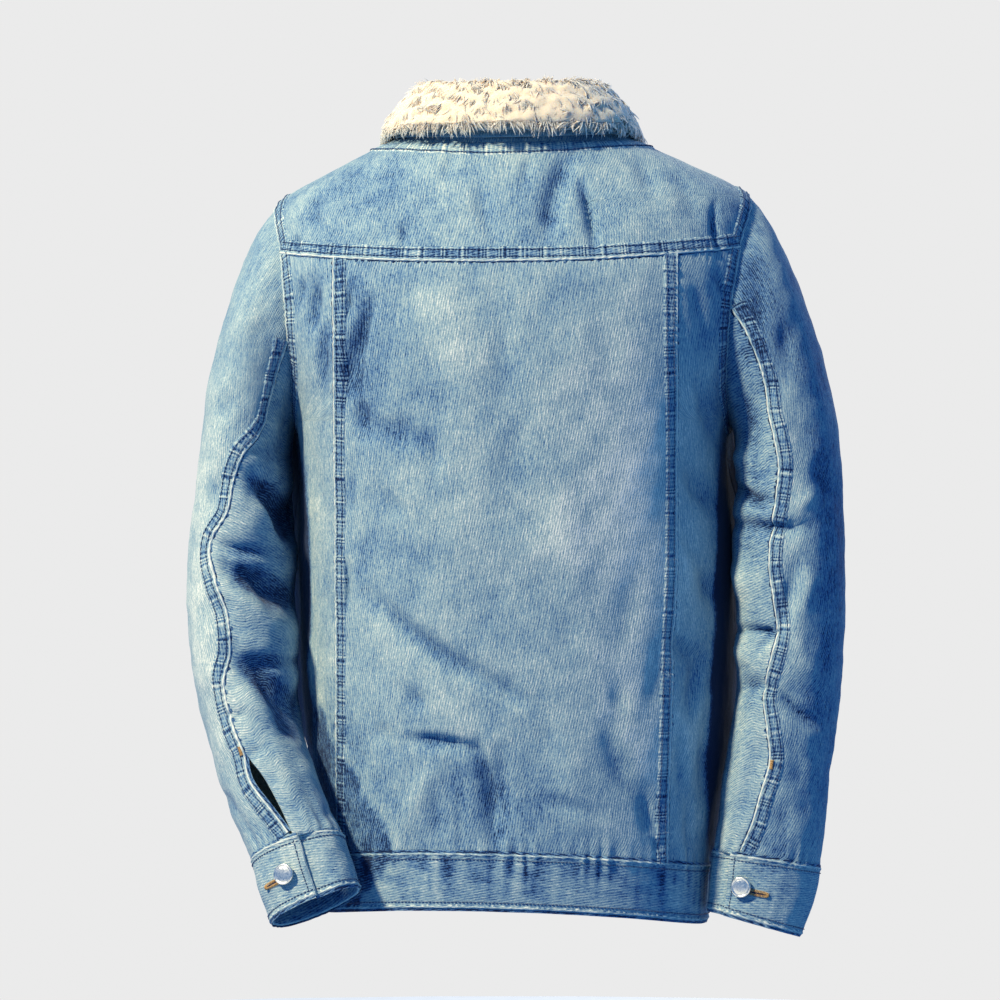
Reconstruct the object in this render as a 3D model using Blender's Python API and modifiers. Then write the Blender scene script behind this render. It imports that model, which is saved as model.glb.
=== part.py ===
"""A sherpa lined denim jacket, closed at the front and filled out as if worn.

Metres, +Z up; the front faces -Y and the wearer's left is +X. The origin is the middle of the
neck opening. Every piece of cloth is a closed wall laid off one smooth body or sleeve form.
"""
import math

import bmesh
import bpy
import numpy as np
from mathutils import Vector

NAME = "sherpa_lined_jacket"

# ---------------------------------------------------------------- driving sizes
GAP = 0.0003             # between neighbouring pieces
BODY_WALL = 0.003        # denim with its lining
SLEEVE_WALL = 0.0025
BAND_WALL = 0.003        # waistband and cuffs
BAND_RISE = 0.0008       # the bands stand this much proud of the cloth they hold
UNDERLAP = -0.0036       # the under end of a band lies this far in
PLACKET_HALF = 0.019
PLACKET_WALL = 0.0025
PRINCESS_LEFT = 0.140    # the long back seam on the wearer's left
PRINCESS_RIGHT = 0.139   # the one on the right, at the yoke
PRINCESS_LEAN = 0.008    # how far it closes in towards the waistband
FLEECE = 0.008           # thickness of the sherpa leaf
UNDER_COLLAR = 0.0025
FOLD_RADIUS = 0.007
BUTTON_RADIUS = 0.0085

V_BAND = 0.08            # top of the waistband
V_ARM = 0.68             # foot of the armhole
V_YOKE = 0.86            # yoke seam
V_SHOULDER = 0.92        # top of the armhole
ARM_U = 0.0863           # half depth of the armhole, as a share of the way round


class Table:
    """Rows of named columns, read between the rows along a smooth curve."""

    def __init__(self, names, rows):
        self.names = names.split()
        self.rows = np.array(rows, float)
        self.keys = self.rows[:, 0]
        self.slopes = np.gradient(self.rows, self.keys, axis=0)

    def at(self, name, key):
        """The named column at each key."""
        j = self.names.index(name)
        i = np.clip(np.searchsorted(self.keys, key, side="right") - 1, 0, len(self.keys) - 2)
        span = self.keys[i + 1] - self.keys[i]
        t = (key - self.keys[i]) / span
        a, b = self.rows[i, j], self.rows[i + 1, j]
        sa, sb = self.slopes[i, j] * span, self.slopes[i + 1, j] * span
        return ((2 * t**3 - 3 * t**2 + 1) * a + (t**3 - 2 * t**2 + t) * sa
                + (3 * t**2 - 2 * t**3) * b + (t**3 - t**2) * sb)


# One row for each level of the body, hem to neck: where its ring crosses the middle of the back,
# the side and the middle of the front, how square the ring is, its slope across the body and how
# far it hangs to the wearer's right.
BODY = Table("v back_y back_z side_x side_y side_z front_y front_z square tilt sway", [
    (0.00, 0.123, -0.630, 0.160, -0.006, -0.646, 0.124, -0.656, 2.5, 0.025, 0.0035),
    (0.08, 0.127, -0.585, 0.1645, -0.018, -0.600, 0.129, -0.610, 2.5, 0.025, 0.0035),
    (0.30, 0.131, -0.470, 0.1830, -0.052, -0.477, 0.138, -0.482, 2.5, 0.020, 0.0045),
    (0.50, 0.135, -0.350, 0.186, -0.052, -0.352, 0.142, -0.353, 2.5, 0.005, 0.0035),
    (0.68, 0.140, -0.235, 0.181, -0.012, -0.235, 0.143, -0.238, 2.5, 0.0, 0.0),
    (0.80, 0.138, -0.150, 0.202, 0.0, -0.140, 0.137, -0.154, 2.45, -0.006, 0.0),
    (0.86, 0.132, -0.108, 0.205, 0.0, -0.091, 0.126, -0.118, 2.3, -0.009, 0.001),
    (0.92, 0.114, -0.058, 0.196, 0.0, -0.048, 0.112, -0.088, 2.1, -0.013, 0.0015),
    (0.96, 0.099, -0.027, 0.152, 0.0, -0.023, 0.101, -0.072, 2.05, -0.012, 0.000),
    (1.00, 0.085, -0.004, 0.0975, 0.0, 0.003, 0.090, -0.060, 2.0, -0.008, -0.0005),
])

# One row for each station of a sleeve and its cuff, armhole to wrist: the inner and outer edges
# seen from the back, the middle's y, half the depth, how far the ring swings back, the angle of
# the back seam (0 inner edge, 90 back, 180 outer edge) and half the width of the open slit.
SLEEVE_NAMES = "s in_x in_z out_x out_z mid_y deep swing seam slit"
CUFF_AT = 18             # the station where the cuff starts
CUFF_END = 20
SLEEVE = {
    "left": Table(SLEEVE_NAMES, [
        (0, 0.18, -0.235, 0.1970, -0.048, 0.000, 0.075, 0, 75, 0.0),
        (1, 0.184, -0.240, 0.2107, -0.069, 0.001, 0.0785, 0, 66, 0.0),
        (2, 0.186, -0.246, 0.2250, -0.103, 0.002, 0.081, 0, 59, 0.0),
        (3, 0.186, -0.254, 0.2375, -0.139, 0.004, 0.081, 2, 57, 0.0),
        (4, 0.1855, -0.264, 0.2465, -0.172, 0.006, 0.080, 3, 59, 0.0),
        (5, 0.1845, -0.278, 0.2535, -0.204, 0.008, 0.078, 4, 68, 0.0),
        (6, 0.183, -0.296, 0.2580, -0.238, 0.011, 0.075, 5, 84, 0.0),
        (7, 0.18, -0.316, 0.2615, -0.272, 0.014, 0.072, 6, 95, 0.0),
        (8, 0.179, -0.338, 0.2650, -0.306, 0.018, 0.069, 7, 100, 0.0),
        (9, 0.179, -0.360, 0.2685, -0.340, 0.022, 0.0665, 8, 117, 0.0),
        (10, 0.178, -0.384, 0.2692, -0.374, 0.027, 0.064, 10, 108, 0.0),
        (11, 0.1775, -0.408, 0.2680, -0.408, 0.033, 0.062, 13, 97, 0.0),
        (12, 0.1755, -0.432, 0.2640, -0.440, 0.040, 0.060, 15, 98, 0.0),
        (13, 0.173, -0.456, 0.2575, -0.470, 0.048, 0.057, 17, 110, 0.0),
        (14, 0.1695, -0.480, 0.2485, -0.500, 0.057, 0.054, 19, 112, 0.0),
        (15, 0.164, -0.504, 0.2400, -0.527, 0.067, 0.051, 20, 107, 0.0),
        (16, 0.155, -0.527, 0.2305, -0.551, 0.078, 0.047, 21, 102, 0.006),
        (17, 0.1445, -0.549, 0.2185, -0.573, 0.091, 0.043, 22, 96, 0.0045),
        (18, 0.133, -0.5725, 0.2059, -0.595, 0.105, 0.0375, 21, 90, 0.0015),
        (19, 0.1245, -0.5935, 0.1983, -0.6195, 0.1145, 0.0345, 19, 82, 0.0),
        (20, 0.1175, -0.6125, 0.1883, -0.642, 0.122, 0.0335, 18, 78, 0.0),
    ]),
    "right": Table(SLEEVE_NAMES, [
        (0, 0.180, -0.235, 0.1970, -0.048, 0.000, 0.075, 0, 90, 0.0),
        (1, 0.184, -0.240, 0.2132, -0.067, 0.001, 0.0785, 0, 86, 0.0),
        (2, 0.187, -0.246, 0.2315, -0.101, 0.002, 0.081, 0, 80, 0.0),
        (3, 0.1885, -0.254, 0.2465, -0.138, 0.002, 0.081, 0, 77, 0.0),
        (4, 0.1885, -0.264, 0.2570, -0.172, 0.005, 0.080, 0, 75, 0.0),
        (5, 0.1875, -0.278, 0.2650, -0.204, 0.009, 0.078, 0, 78, 0.0),
        (6, 0.186, -0.296, 0.2715, -0.238, 0.014, 0.075, 0, 80, 0.0),
        (7, 0.1845, -0.316, 0.2750, -0.272, 0.019, 0.072, 0, 76, 0.0),
        (8, 0.1845, -0.338, 0.2765, -0.306, 0.023, 0.069, 0, 70, 0.0),
        (9, 0.186, -0.361, 0.2775, -0.340, 0.026, 0.0665, 0, 67, 0.0),
        (10, 0.1875, -0.385, 0.2780, -0.374, 0.028, 0.064, 0, 70, 0.0),
        (11, 0.188, -0.410, 0.2770, -0.407, 0.030, 0.062, 2, 73, 0.0),
        (12, 0.188, -0.436, 0.2755, -0.438, 0.031, 0.060, 4, 67, 0.0),
        (13, 0.187, -0.462, 0.2725, -0.468, 0.032, 0.057, 6, 61, 0.0),
        (14, 0.183, -0.489, 0.2690, -0.496, 0.033, 0.054, 6, 71, 0.0),
        (15, 0.179, -0.516, 0.2650, -0.523, 0.034, 0.051, 6, 79, 0.0),
        (16, 0.175, -0.541, 0.2625, -0.550, 0.036, 0.048, 6, 73, 0.0005),
        (17, 0.172, -0.566, 0.2595, -0.577, 0.038, 0.0445, 6, 67, 0.001),
        (18, 0.169, -0.590, 0.2559, -0.603, 0.040, 0.0395, 6, 58, 0.0005),
        (19, 0.1665, -0.614, 0.2503, -0.631, 0.042, 0.0365, 6, 50, 0.0),
        (20, 0.1645, -0.637, 0.2403, -0.658, 0.044, 0.0345, 6, 46, 0.0),
    ]),
}
CUFF_EDGE = {"left": 84, "right": 49}        # angle of the free end of the cuff
CUFF_BUTTON = {"left": 110, "right": 67}

# One row for each place round the collar, back to front: how far the stand leans in, how high it
# folds above the neck seam, and where the leaf's lower edge lies from that seam.
COLLAR = Table("u lean height edge_out edge_up", [
    (0.00, -0.020, 0.042, 0.013, 0.006),
    (0.12, -0.022, 0.041, 0.011, 0.004),
    (0.25, -0.028, 0.037, 0.0075, 0.001),
    (0.36, -0.021, 0.034, 0.021, -0.003),
    (0.43, -0.014, 0.031, 0.038, -0.018),
    (0.49, -0.010, 0.029, 0.041, -0.042),
])

# The largest creases, as strokes seen from the back or the front: ends, depth in (a ridge when
# below nothing), half width, and the face of the cloth they lie on (1 back, -1 front).
BODY_CREASES = [
    (-0.045, -0.028, -0.035, -0.098, 0.0044, 0.015, 1),
    (-0.069, -0.045, -0.077, -0.098, 0.0044, 0.015, 1),
    (0.157, -0.115, 0.15, -0.175, 0.0037, 0.015, 1),
    (0.105, -0.125, 0.126, -0.23, 0.0037, 0.02, 1),
    (-0.15, -0.235, -0.168, -0.31, 0.0037, 0.018, 1),
    (-0.135, -0.4, -0.168, -0.465, 0.0044, 0.02, 1),
    (0.056, -0.5, 0.014, -0.58, 0.005, 0.02, 1),
    (-0.03, -0.48, 0.004, -0.575, 0.0037, 0.022, 1),
    (0.03, -0.24, 0.06, -0.42, -0.0037, 0.035, 1),
    (-0.06, -0.15, -0.08, -0.4, 0.0037, 0.037, 1),
    (0.14, -0.3, 0.04, -0.4, 0.005, 0.022, -1),
    (-0.14, -0.29, -0.05, -0.37, 0.005, 0.022, -1),
    (0.12, -0.47, 0.04, -0.56, 0.005, 0.022, -1),
    (-0.11, -0.45, -0.04, -0.57, 0.005, 0.022, -1),
]
SLEEVE_CREASES = {
    "left": [
        (0.18, -0.3, 0.222, -0.278, 0.0075, 0.015, 1),
        (0.182, -0.352, 0.25, -0.338, 0.01, 0.018, 1),
        (0.186, -0.392, 0.232, -0.358, 0.01, 0.016, 1),
        (0.178, -0.442, 0.228, -0.424, 0.0088, 0.018, 1),
        (0.17, -0.492, 0.222, -0.468, 0.0075, 0.016, 1),
        (0.215, -0.38, 0.262, -0.4, 0.005, 0.018, 1),
        (0.19, -0.33, 0.25, -0.36, 0.0063, 0.018, -1),
        (0.185, -0.4, 0.245, -0.38, 0.0075, 0.018, -1),
        (0.18, -0.45, 0.24, -0.44, 0.0063, 0.018, -1),
    ],
    "right": [
        (-0.187, -0.318, -0.205, -0.352, 0.0063, 0.015, 1),
        (-0.19, -0.4, -0.224, -0.412, 0.0075, 0.016, 1),
        (-0.192, -0.466, -0.222, -0.452, 0.0075, 0.016, 1),
        (-0.222, -0.458, -0.262, -0.47, 0.0063, 0.016, 1),
        (-0.24, -0.388, -0.266, -0.42, 0.005, 0.016, 1),
        (-0.19, -0.35, -0.25, -0.37, 0.0063, 0.018, -1),
        (-0.19, -0.43, -0.25, -0.41, 0.0075, 0.018, -1),
    ],
}

PLACKET_BUTTONS = (0.83, 0.68, 0.525, 0.365, 0.205)
BAND_BUTTON = 0.04


def ease(x, low, high):
    """Runs smoothly from 0 at low to 1 at high."""
    t = np.clip((x - low) / (high - low), 0, 1)
    return t * t * (3 - 2 * t)


def unit(a):
    """Vectors brought to length one."""
    return a / np.maximum(np.linalg.norm(a, axis=-1, keepdims=True), 1e-12)


def facing(form, a, b):
    """Outward normals of a form of two parameters."""
    e = 1e-4
    along = form(a + e, b) - form(a - e, b)
    up = form(a, b + e) - form(a, b - e)
    return unit(np.cross(up, along))


def creased(points, normals, creases):
    """Height of the strokes at each point, along its normal."""
    height = np.zeros(points.shape[:-1])
    for x0, z0, x1, z1, depth, wide, face in creases:
        run = np.array([x1 - x0, z1 - z0])
        rel = points[..., [0, 2]] - np.array([x0, z0])
        t = rel @ run / (run @ run)
        near = rel - np.clip(t, 0, 1)[..., None] * run
        fall = np.exp(-(near ** 2).sum(-1) / wide ** 2)
        height -= depth * fall * (0.35 + 0.65 * np.sin(math.pi * np.clip(t, 0, 1))) * ease(
            face * normals[..., 1], 0.0, 0.5)
    return height


# ---------------------------------------------------------------- body form
def body_ring(u, v):
    """The body before its creases: u runs round from the middle of the back over +X, v goes up."""
    s, c = np.sin(2 * math.pi * u), np.cos(2 * math.pi * u)
    n = BODY.at("square", v)
    m = (np.abs(s) ** n + np.abs(c) ** n) ** (-1 / n)
    back = c > 0
    side_y, side_z = BODY.at("side_y", v), BODY.at("side_z", v)
    end_y = np.where(back, BODY.at("back_y", v), -BODY.at("front_y", v))
    end_z = np.where(back, BODY.at("back_z", v), BODY.at("front_z", v))
    x = BODY.at("side_x", v) * s * m
    y = side_y + (end_y - side_y) * np.abs(c * m)
    z = side_z + (end_z - side_z) * (c * m) ** 2
    return np.stack([x - BODY.at("sway", v), y, z + BODY.at("tilt", v) * x], -1)


def body_normal(u, v):
    """Outward normal of the body before its creases."""
    return facing(body_ring, u, v)


def body(u, v):
    """Points of the creased body."""
    p, n = body_ring(u, v), body_normal(u, v)
    clear = 1 - 0.9 * ease(v, V_SHOULDER, 1.0)
    return p + n * (creased(p, n, BODY_CREASES) * clear)[..., None]


def seam_u(v, x):
    """How far round the body the back crosses a given x."""
    n = BODY.at("square", v)
    r = (x + BODY.at("sway", v)) / BODY.at("side_x", v)
    return np.arctan2(r, (1 - np.abs(r) ** n) ** (1 / n)) / (2 * math.pi)


def princess(v, side):
    """How far round the body the long back seam of one side runs."""
    if side == "left":
        return seam_u(v, PRINCESS_LEFT)
    return seam_u(v, -PRINCESS_RIGHT + PRINCESS_LEAN * (1 - ease(v, V_BAND, 0.6)))


def front_u(v, x):
    """How far round the body the front crosses a given x."""
    return 0.5 - seam_u(v, x)


def armhole(theta, side):
    """Where the armhole runs: theta is 0 at its foot, a quarter turn at the back."""
    u = side * (0.25 - ARM_U * np.sin(theta))
    return u, V_ARM + (V_SHOULDER - V_ARM) * (1 - np.cos(theta)) / 2


def side_u(v, face):
    """The outer edge of a panel: the side seam, then the armhole, then the shoulder seam."""
    share = np.clip((v - V_ARM) / (V_SHOULDER - V_ARM), 0, 1)
    return 0.25 - face * ARM_U * np.sin(np.arccos(1 - 2 * share))


def levels(low, high):
    """Rows of the body between two levels; those of the armhole are shared with the sleeve."""
    arm = [armhole(math.radians(15 * k), 1)[1] for k in range(1, 13)]
    rows = list(np.linspace(V_BAND, V_ARM, 15)) + arm + list(np.linspace(V_SHOULDER, 1, 5)[1:])
    return np.array([v for v in rows if low - 1e-6 <= v <= high + 1e-6])


# ---------------------------------------------------------------- sleeve form
def sleeve_ring(theta, s, side):
    """A sleeve before its creases: theta goes round as at the armhole, s runs down to the wrist."""
    table = SLEEVE[side]
    way = 1 if side == "left" else -1
    inner = np.stack([way * table.at("in_x", s), table.at("in_z", s)], -1)
    outer = np.stack([way * table.at("out_x", s), table.at("out_z", s)], -1)
    sn, cs = np.sin(theta), np.cos(theta)
    m = (np.abs(sn) ** 2.2 + np.abs(cs) ** 2.2) ** (-1 / 2.2)
    flat = (inner + outer) / 2 - (outer - inner) / 2 * (cs * m)[..., None]
    swing = np.radians(table.at("swing", s))
    deep = table.at("deep", s) * sn * m
    return np.stack([flat[..., 0], table.at("mid_y", s) + deep * np.cos(swing),
                     flat[..., 1] + deep * np.sin(swing)], -1)


def sleeve(theta, s, side):
    """Points of a creased sleeve, its first ring on the armhole."""
    way = 1 if side == "left" else -1
    p = sleeve_ring(theta, s, side)
    joint = body(*armhole(theta, way)) - sleeve_ring(theta, np.zeros_like(theta), side)
    p = p + joint * (1 - ease(s, 0, 2.5))[..., None]
    n = sleeve_normal(theta, s, side)
    fade = ease(s, 1, 4) * (1 - ease(s, CUFF_AT - 2, CUFF_AT))
    return p + n * (creased(p, n, SLEEVE_CREASES[side]) * fade)[..., None]


def sleeve_normal(theta, s, side):
    """Outward normal of a sleeve before its creases."""
    way = 1 if side == "left" else -1

    def plain(a, b):
        joint = body_ring(*armhole(a, way)) - sleeve_ring(a, np.zeros_like(a), side)
        return sleeve_ring(a, b, side) + joint * (1 - ease(b, 0, 2.5))[..., None]

    return -way * facing(plain, theta, s)


# ---------------------------------------------------------------- collar form
def collar(u, s):
    """The sheet between the two layers of the collar: s runs up the stand and down the leaf."""
    e = 1e-3
    ring = body(u, np.ones_like(u))
    along = body_ring(u + e, np.ones_like(u)) - body_ring(u - e, np.ones_like(u))
    out = unit(np.stack([-along[..., 1], along[..., 0], 0 * u], -1))
    place = np.abs(u)
    lean, top = COLLAR.at("lean", place), COLLAR.at("height", place)
    edge_out, edge_up = COLLAR.at("edge_out", place), COLLAR.at("edge_up", place)
    drop_out, drop_up = lean + 2 * FOLD_RADIUS + 0.001, top - FOLD_RADIUS
    knots = np.array([0, 0.18, 0.36, 0.5, 0.64, 0.82, 1.0])
    r = [0 * lean, 0.42 * lean, lean, lean + FOLD_RADIUS, drop_out,
         (drop_out + edge_out) / 2 + 0.002, edge_out]
    h = [0 * top, 0.45 * (top - FOLD_RADIUS), top - FOLD_RADIUS, top, drop_up,
         (drop_up + edge_up) / 2 + 0.001, edge_up]
    profile_r, profile_h = between(knots, r, s), between(knots, h, s)
    return ring + out * profile_r[..., None] + np.array([0, 0, 1.0]) * profile_h[..., None]


def between(knots, values, at):
    """A smooth curve through arrays of values at shared knots."""
    values = np.stack([np.broadcast_to(v, at.shape) for v in values])
    slopes = np.gradient(values, knots, axis=0)
    i = np.clip(np.searchsorted(knots, at, side="right") - 1, 0, len(knots) - 2)
    span = knots[i + 1] - knots[i]
    t = (at - knots[i]) / span

    def pick(table, j):
        return np.take_along_axis(table, j[None], 0)[0]

    return ((2 * t**3 - 3 * t**2 + 1) * pick(values, i) + (3 * t**2 - 2 * t**3) * pick(values, i + 1)
            + (t**3 - 2 * t**2 + t) * span * pick(slopes, i)
            + (t**3 - t**2) * span * pick(slopes, i + 1))


def collar_side(u, s):
    """Normal of the collar's sheet, towards the sherpa."""
    return -facing(collar, u, s)


# ---------------------------------------------------------------- making solids
def material(name, colour, rough, metal=0.0):
    """A plain material for one node."""
    made = bpy.data.materials.new(name)
    made.use_nodes = True
    shader = made.node_tree.nodes["Principled BSDF"]
    shader.inputs["Base Color"].default_value = (*colour, 1)
    shader.inputs["Roughness"].default_value = rough
    shader.inputs["Metallic"].default_value = metal
    return made


DENIM = (0.13, 0.22, 0.36)
CREAM = (0.72, 0.64, 0.50)
NICKEL = (0.62, 0.61, 0.58)


def drawn_in(points, normals):
    """Points with their four edges drawn in by half a gap, square to each edge."""
    moved = points.copy()
    for axis in (0, 1):
        for end, inside in ((0, 1), (-1, -2)):
            edge = np.moveaxis(points, axis, 0)[end]
            within = np.moveaxis(points, axis, 0)[inside] - edge
            way = unit(np.cross(np.moveaxis(normals, axis, 0)[end], np.gradient(edge, axis=0)))
            way *= np.sign((way * within).sum(-1, keepdims=True))
            np.moveaxis(moved, axis, 0)[end] += GAP / 2 * way
    return moved


def place_sum(vert):
    """Row plus column of a vertex that still lies on its flat grid."""
    return vert.co.x + vert.co.y


def wall(name, points, normals, thick, colour=DENIM):
    """A closed wall whose outer face is a grid of points and whose inner face lies thick inside.

    Every rim is split the same way, so the rims of two neighbours stay one gap apart.
    """
    rows, cols = points.shape[:2]
    outer = drawn_in(points, normals)
    inner = outer - normals * thick
    bm = bmesh.new()
    made = bmesh.ops.create_grid(bm, x_segments=cols - 1, y_segments=rows - 1, size=1)
    places = [(round((v.co.y + 1) / 2 * (rows - 1)), round((v.co.x + 1) / 2 * (cols - 1)))
              for v in made["verts"]]
    for vert, place in zip(made["verts"], places):
        vert.co = Vector((place[0], place[1], 0))
    lifted = bmesh.ops.extrude_face_region(bm, geom=bm.faces[:])
    for vert in (v for v in lifted["geom"] if isinstance(v, bmesh.types.BMVert)):
        vert.co.z = 1
    for face in list(bm.faces):
        low = [v for v in face.verts if v.co.z < 0.5]
        high = [v for v in face.verts if v.co.z > 0.5]
        if low and high:
            ends = min(low, key=place_sum), max(high, key=place_sum)
            bmesh.utils.face_split(face, *ends)
    for vert in bm.verts:
        i, j = round(vert.co.x), round(vert.co.y)
        vert.co = Vector(inner[i, j] if vert.co.z > 0.5 else outer[i, j])
    bmesh.ops.recalc_face_normals(bm, faces=bm.faces[:])
    return finish(name, bm, material(name, colour, 0.9))


def finish(name, bm, made):
    """Puts a mesh in the scene as one smooth-shaded node."""
    mesh = bpy.data.meshes.new(name)
    bm.to_mesh(mesh)
    bm.free()
    mesh.shade_smooth()
    mesh.set_sharp_from_angle(angle=math.radians(50))
    mesh.materials.append(made)
    node = bpy.data.objects.new(name, mesh)
    JACKET.objects.link(node)
    return node


def mitred(n, other, theta):
    """The way a rim faces round an armhole, where two sheets meet at an angle."""
    middle = unit(n + other * ease((1 - np.cos(theta)) / 2, 0.3, 0.6)[:, None])
    return middle / np.maximum((middle * n).sum(-1, keepdims=True), 0.6)


def body_piece(name, low, high, left, right, cols, rise=0.0, thick=BODY_WALL, arms=()):
    """A panel of the body between two levels and two edges given as functions of the level.

    Each arm names an edge column that runs along an armhole, its side and its face.
    """
    rows = levels(low, high)
    share = np.linspace(0, 1, cols + 1)
    u = left(rows)[:, None] * (1 - share) + right(rows)[:, None] * share
    v = np.broadcast_to(rows[:, None], u.shape)
    n = body_normal(u, v)
    points = body(u, v) + n * rise
    on = (rows > V_ARM - 1e-6) & (rows < V_SHOULDER + 1e-6)
    turn = np.arccos(np.clip(1 - 2 * (rows[on] - V_ARM) / (V_SHOULDER - V_ARM), -1, 1))
    for column, side, face in arms:
        other = sleeve_normal(face * turn, 0 * turn, side)
        n[on, column] = mitred(n[on, column], other, turn)
    wall(name, points, n, thick)


def back():
    """The centre panel, the two side panels and the yoke."""
    body_piece("back_centre_panel", V_BAND, V_YOKE, lambda v: princess(v, "right"),
               lambda v: princess(v, "left"), 14)
    body_piece("back_side_panel_left", V_BAND, V_YOKE, lambda v: princess(v, "left"),
               lambda v: side_u(v, 1), 5, arms=[(-1, "left", 1)])
    body_piece("back_side_panel_right", V_BAND, V_YOKE, lambda v: -side_u(v, 1),
               lambda v: princess(v, "right"), 5, arms=[(0, "right", 1)])
    body_piece("back_yoke", V_YOKE, 1.0, lambda v: -side_u(v, 1), lambda v: side_u(v, 1), 24,
               arms=[(0, "right", 1), (-1, "left", 1)])


def fronts():
    """The two fronts, meeting under the placket strip."""
    body_piece("front_left", V_BAND, 1.0, lambda v: side_u(v, -1), lambda v: 0.5 + 0 * v, 9,
               arms=[(0, "left", -1)])
    body_piece("front_right", V_BAND, 1.0, lambda v: 0.5 + 0 * v, lambda v: 1 - side_u(v, -1), 9,
               arms=[(-1, "right", -1)])
    body_piece("front_placket", V_BAND, 0.985, lambda v: front_u(v, PLACKET_HALF),
               lambda v: front_u(v, -PLACKET_HALF), 2, GAP + PLACKET_WALL, PLACKET_WALL)


def waistband():
    """One strip round the hem; its left end laps over its right end at the front."""
    over, under = front_u(0.04, -PLACKET_HALF), -front_u(0.04, -PLACKET_HALF + 0.002)
    w = np.linspace(under, over, 57)
    v = np.linspace(0, V_BAND, 4)
    u, v = np.meshgrid(w, v)
    n = body_normal(u, v)
    rise = BAND_RISE + (UNDERLAP - BAND_RISE) * ease(-u, -under - 0.075, -under - 0.035)
    wall("waistband", body(u, v) + n * rise[..., None], n, BAND_WALL)


def sleeve_piece(name, side, start, end, cols):
    """One piece of a sleeve between two angles given as functions of the station."""
    rows = np.concatenate([np.linspace(0, 3, 6)[:-1], np.linspace(3, CUFF_AT, 18)])
    share = np.linspace(0, 1, cols + 1)
    theta = start(rows)[:, None] * (1 - share) + end(rows)[:, None] * share
    s = np.broadcast_to(rows[:, None], theta.shape)
    n = sleeve_normal(theta, s, side)
    other = body_normal(*armhole(theta[0], 1 if side == "left" else -1))
    n[0] = mitred(n[0], other, theta[0])
    wall(name, sleeve(theta, s, side), n, SLEEVE_WALL)


def sleeves():
    """The top and under piece of each sleeve, parted at the slit above the cuff."""
    for side, front in (("left", 60), ("right", 45)):
        table = SLEEVE[side]

        def seam(s, way):
            opened = np.degrees(table.at("slit", s) / 0.042)
            return np.radians(table.at("seam", s) + way * np.maximum(opened, 0))

        fore = math.radians(front)
        sleeve_piece(f"sleeve_{side}_top", side, lambda s: seam(s, 1),
                     lambda s: 2 * math.pi - fore + 0 * s, 15)
        sleeve_piece(f"sleeve_{side}_under", side, lambda s: -fore + 0 * s,
                     lambda s: seam(s, -1), 9)


def cuffs():
    """A strip round each wrist whose free end laps over the under end, with its button."""
    for side in ("left", "right"):
        free = CUFF_EDGE[side]
        theta, s = np.meshgrid(np.radians(np.linspace(free, free + 395, 32)),
                               np.linspace(CUFF_AT, CUFF_END, 4))
        n = sleeve_normal(theta, s, side)
        dip = ease(np.degrees(theta), free + 325, free + 357)
        rise = BAND_RISE + (UNDERLAP - BAND_RISE) * dip
        wall(f"cuff_{side}", sleeve(theta, s, side) + n * rise[..., None], n, BAND_WALL)
        at = np.array([math.radians(CUFF_BUTTON[side])]), np.array([(CUFF_AT + CUFF_END) / 2])
        normal = sleeve_normal(*at, side)[0]
        button(f"cuff_button_{side}", sleeve(*at, side)[0] + normal * (BAND_RISE + GAP), normal)


def collars():
    """The denim under collar and the sherpa leaf turned down over it."""
    rows = [0, 0.16, 0.28, 0.37, 0.45, 0.53, 0.61, 0.7, 0.83, 0.955, 1.0]
    for name, count, out, thick, colour in (
            ("under_collar", 11, -GAP / 2, UNDER_COLLAR, DENIM),
            ("collar_sherpa", 10, GAP / 2 + FLEECE, FLEECE, CREAM)):
        u, s = np.meshgrid(np.linspace(-0.488, 0.488, 27), rows[:count])
        n = collar_side(u, s)
        foot = np.array([0, 0, 2 * GAP])
        wall(name, collar(u, s) + n * out + foot, n, thick, colour)


def button(name, at, normal):
    """A turned metal button on its shank, standing on the cloth."""
    r = BUTTON_RADIUS
    profile = [(0, 0.0054), (0.55 * r, 0.0052), (0.88 * r, 0.0043), (r, 0.0034),
               (0.96 * r, 0.0026), (0.4 * r, 0.0023), (0.4 * r, 0.0002), (0, 0.0002)]
    bm = bmesh.new()
    verts = [bm.verts.new((x, 0, z)) for x, z in profile]
    for a, b in zip(verts, verts[1:]):
        bm.edges.new((a, b))
    node = finish(name, bm, material(name, NICKEL, 0.3, 1.0))
    turn = node.modifiers.new("turn", "SCREW")
    turn.steps = turn.render_steps = 12
    turn.use_merge_vertices = True
    turn.merge_threshold = 0.00001
    node.location = Vector(at)
    node.rotation_mode = "QUATERNION"
    node.rotation_quaternion = Vector((0, 0, 1)).rotation_difference(Vector(normal))


def front_buttons():
    """Five buttons down the placket and one on the waistband."""
    places = [(v, GAP + PLACKET_WALL) for v in PLACKET_BUTTONS] + [(BAND_BUTTON, BAND_RISE)]
    for k, (v, rise) in enumerate(places, 1):
        at = np.array([0.5]), np.array([v])
        normal = body_normal(*at)[0]
        button(f"front_button_{k}", body(*at)[0] + normal * (rise + GAP), normal)


for old in list(bpy.data.objects):
    bpy.data.objects.remove(old)
JACKET = bpy.data.collections.new(NAME)
bpy.context.scene.collection.children.link(JACKET)

back()
fronts()
waistband()
sleeves()
cuffs()
collars()
front_buttons()
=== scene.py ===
"""A sherpa lined denim jacket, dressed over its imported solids.

Metres, +Z up; the front faces -Y and the wearer's left is +X. Each piece of cloth is a thin shell
on the same form as its solid, with finer folds, raised seams and stitches.
"""
import math
from collections import namedtuple

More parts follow.
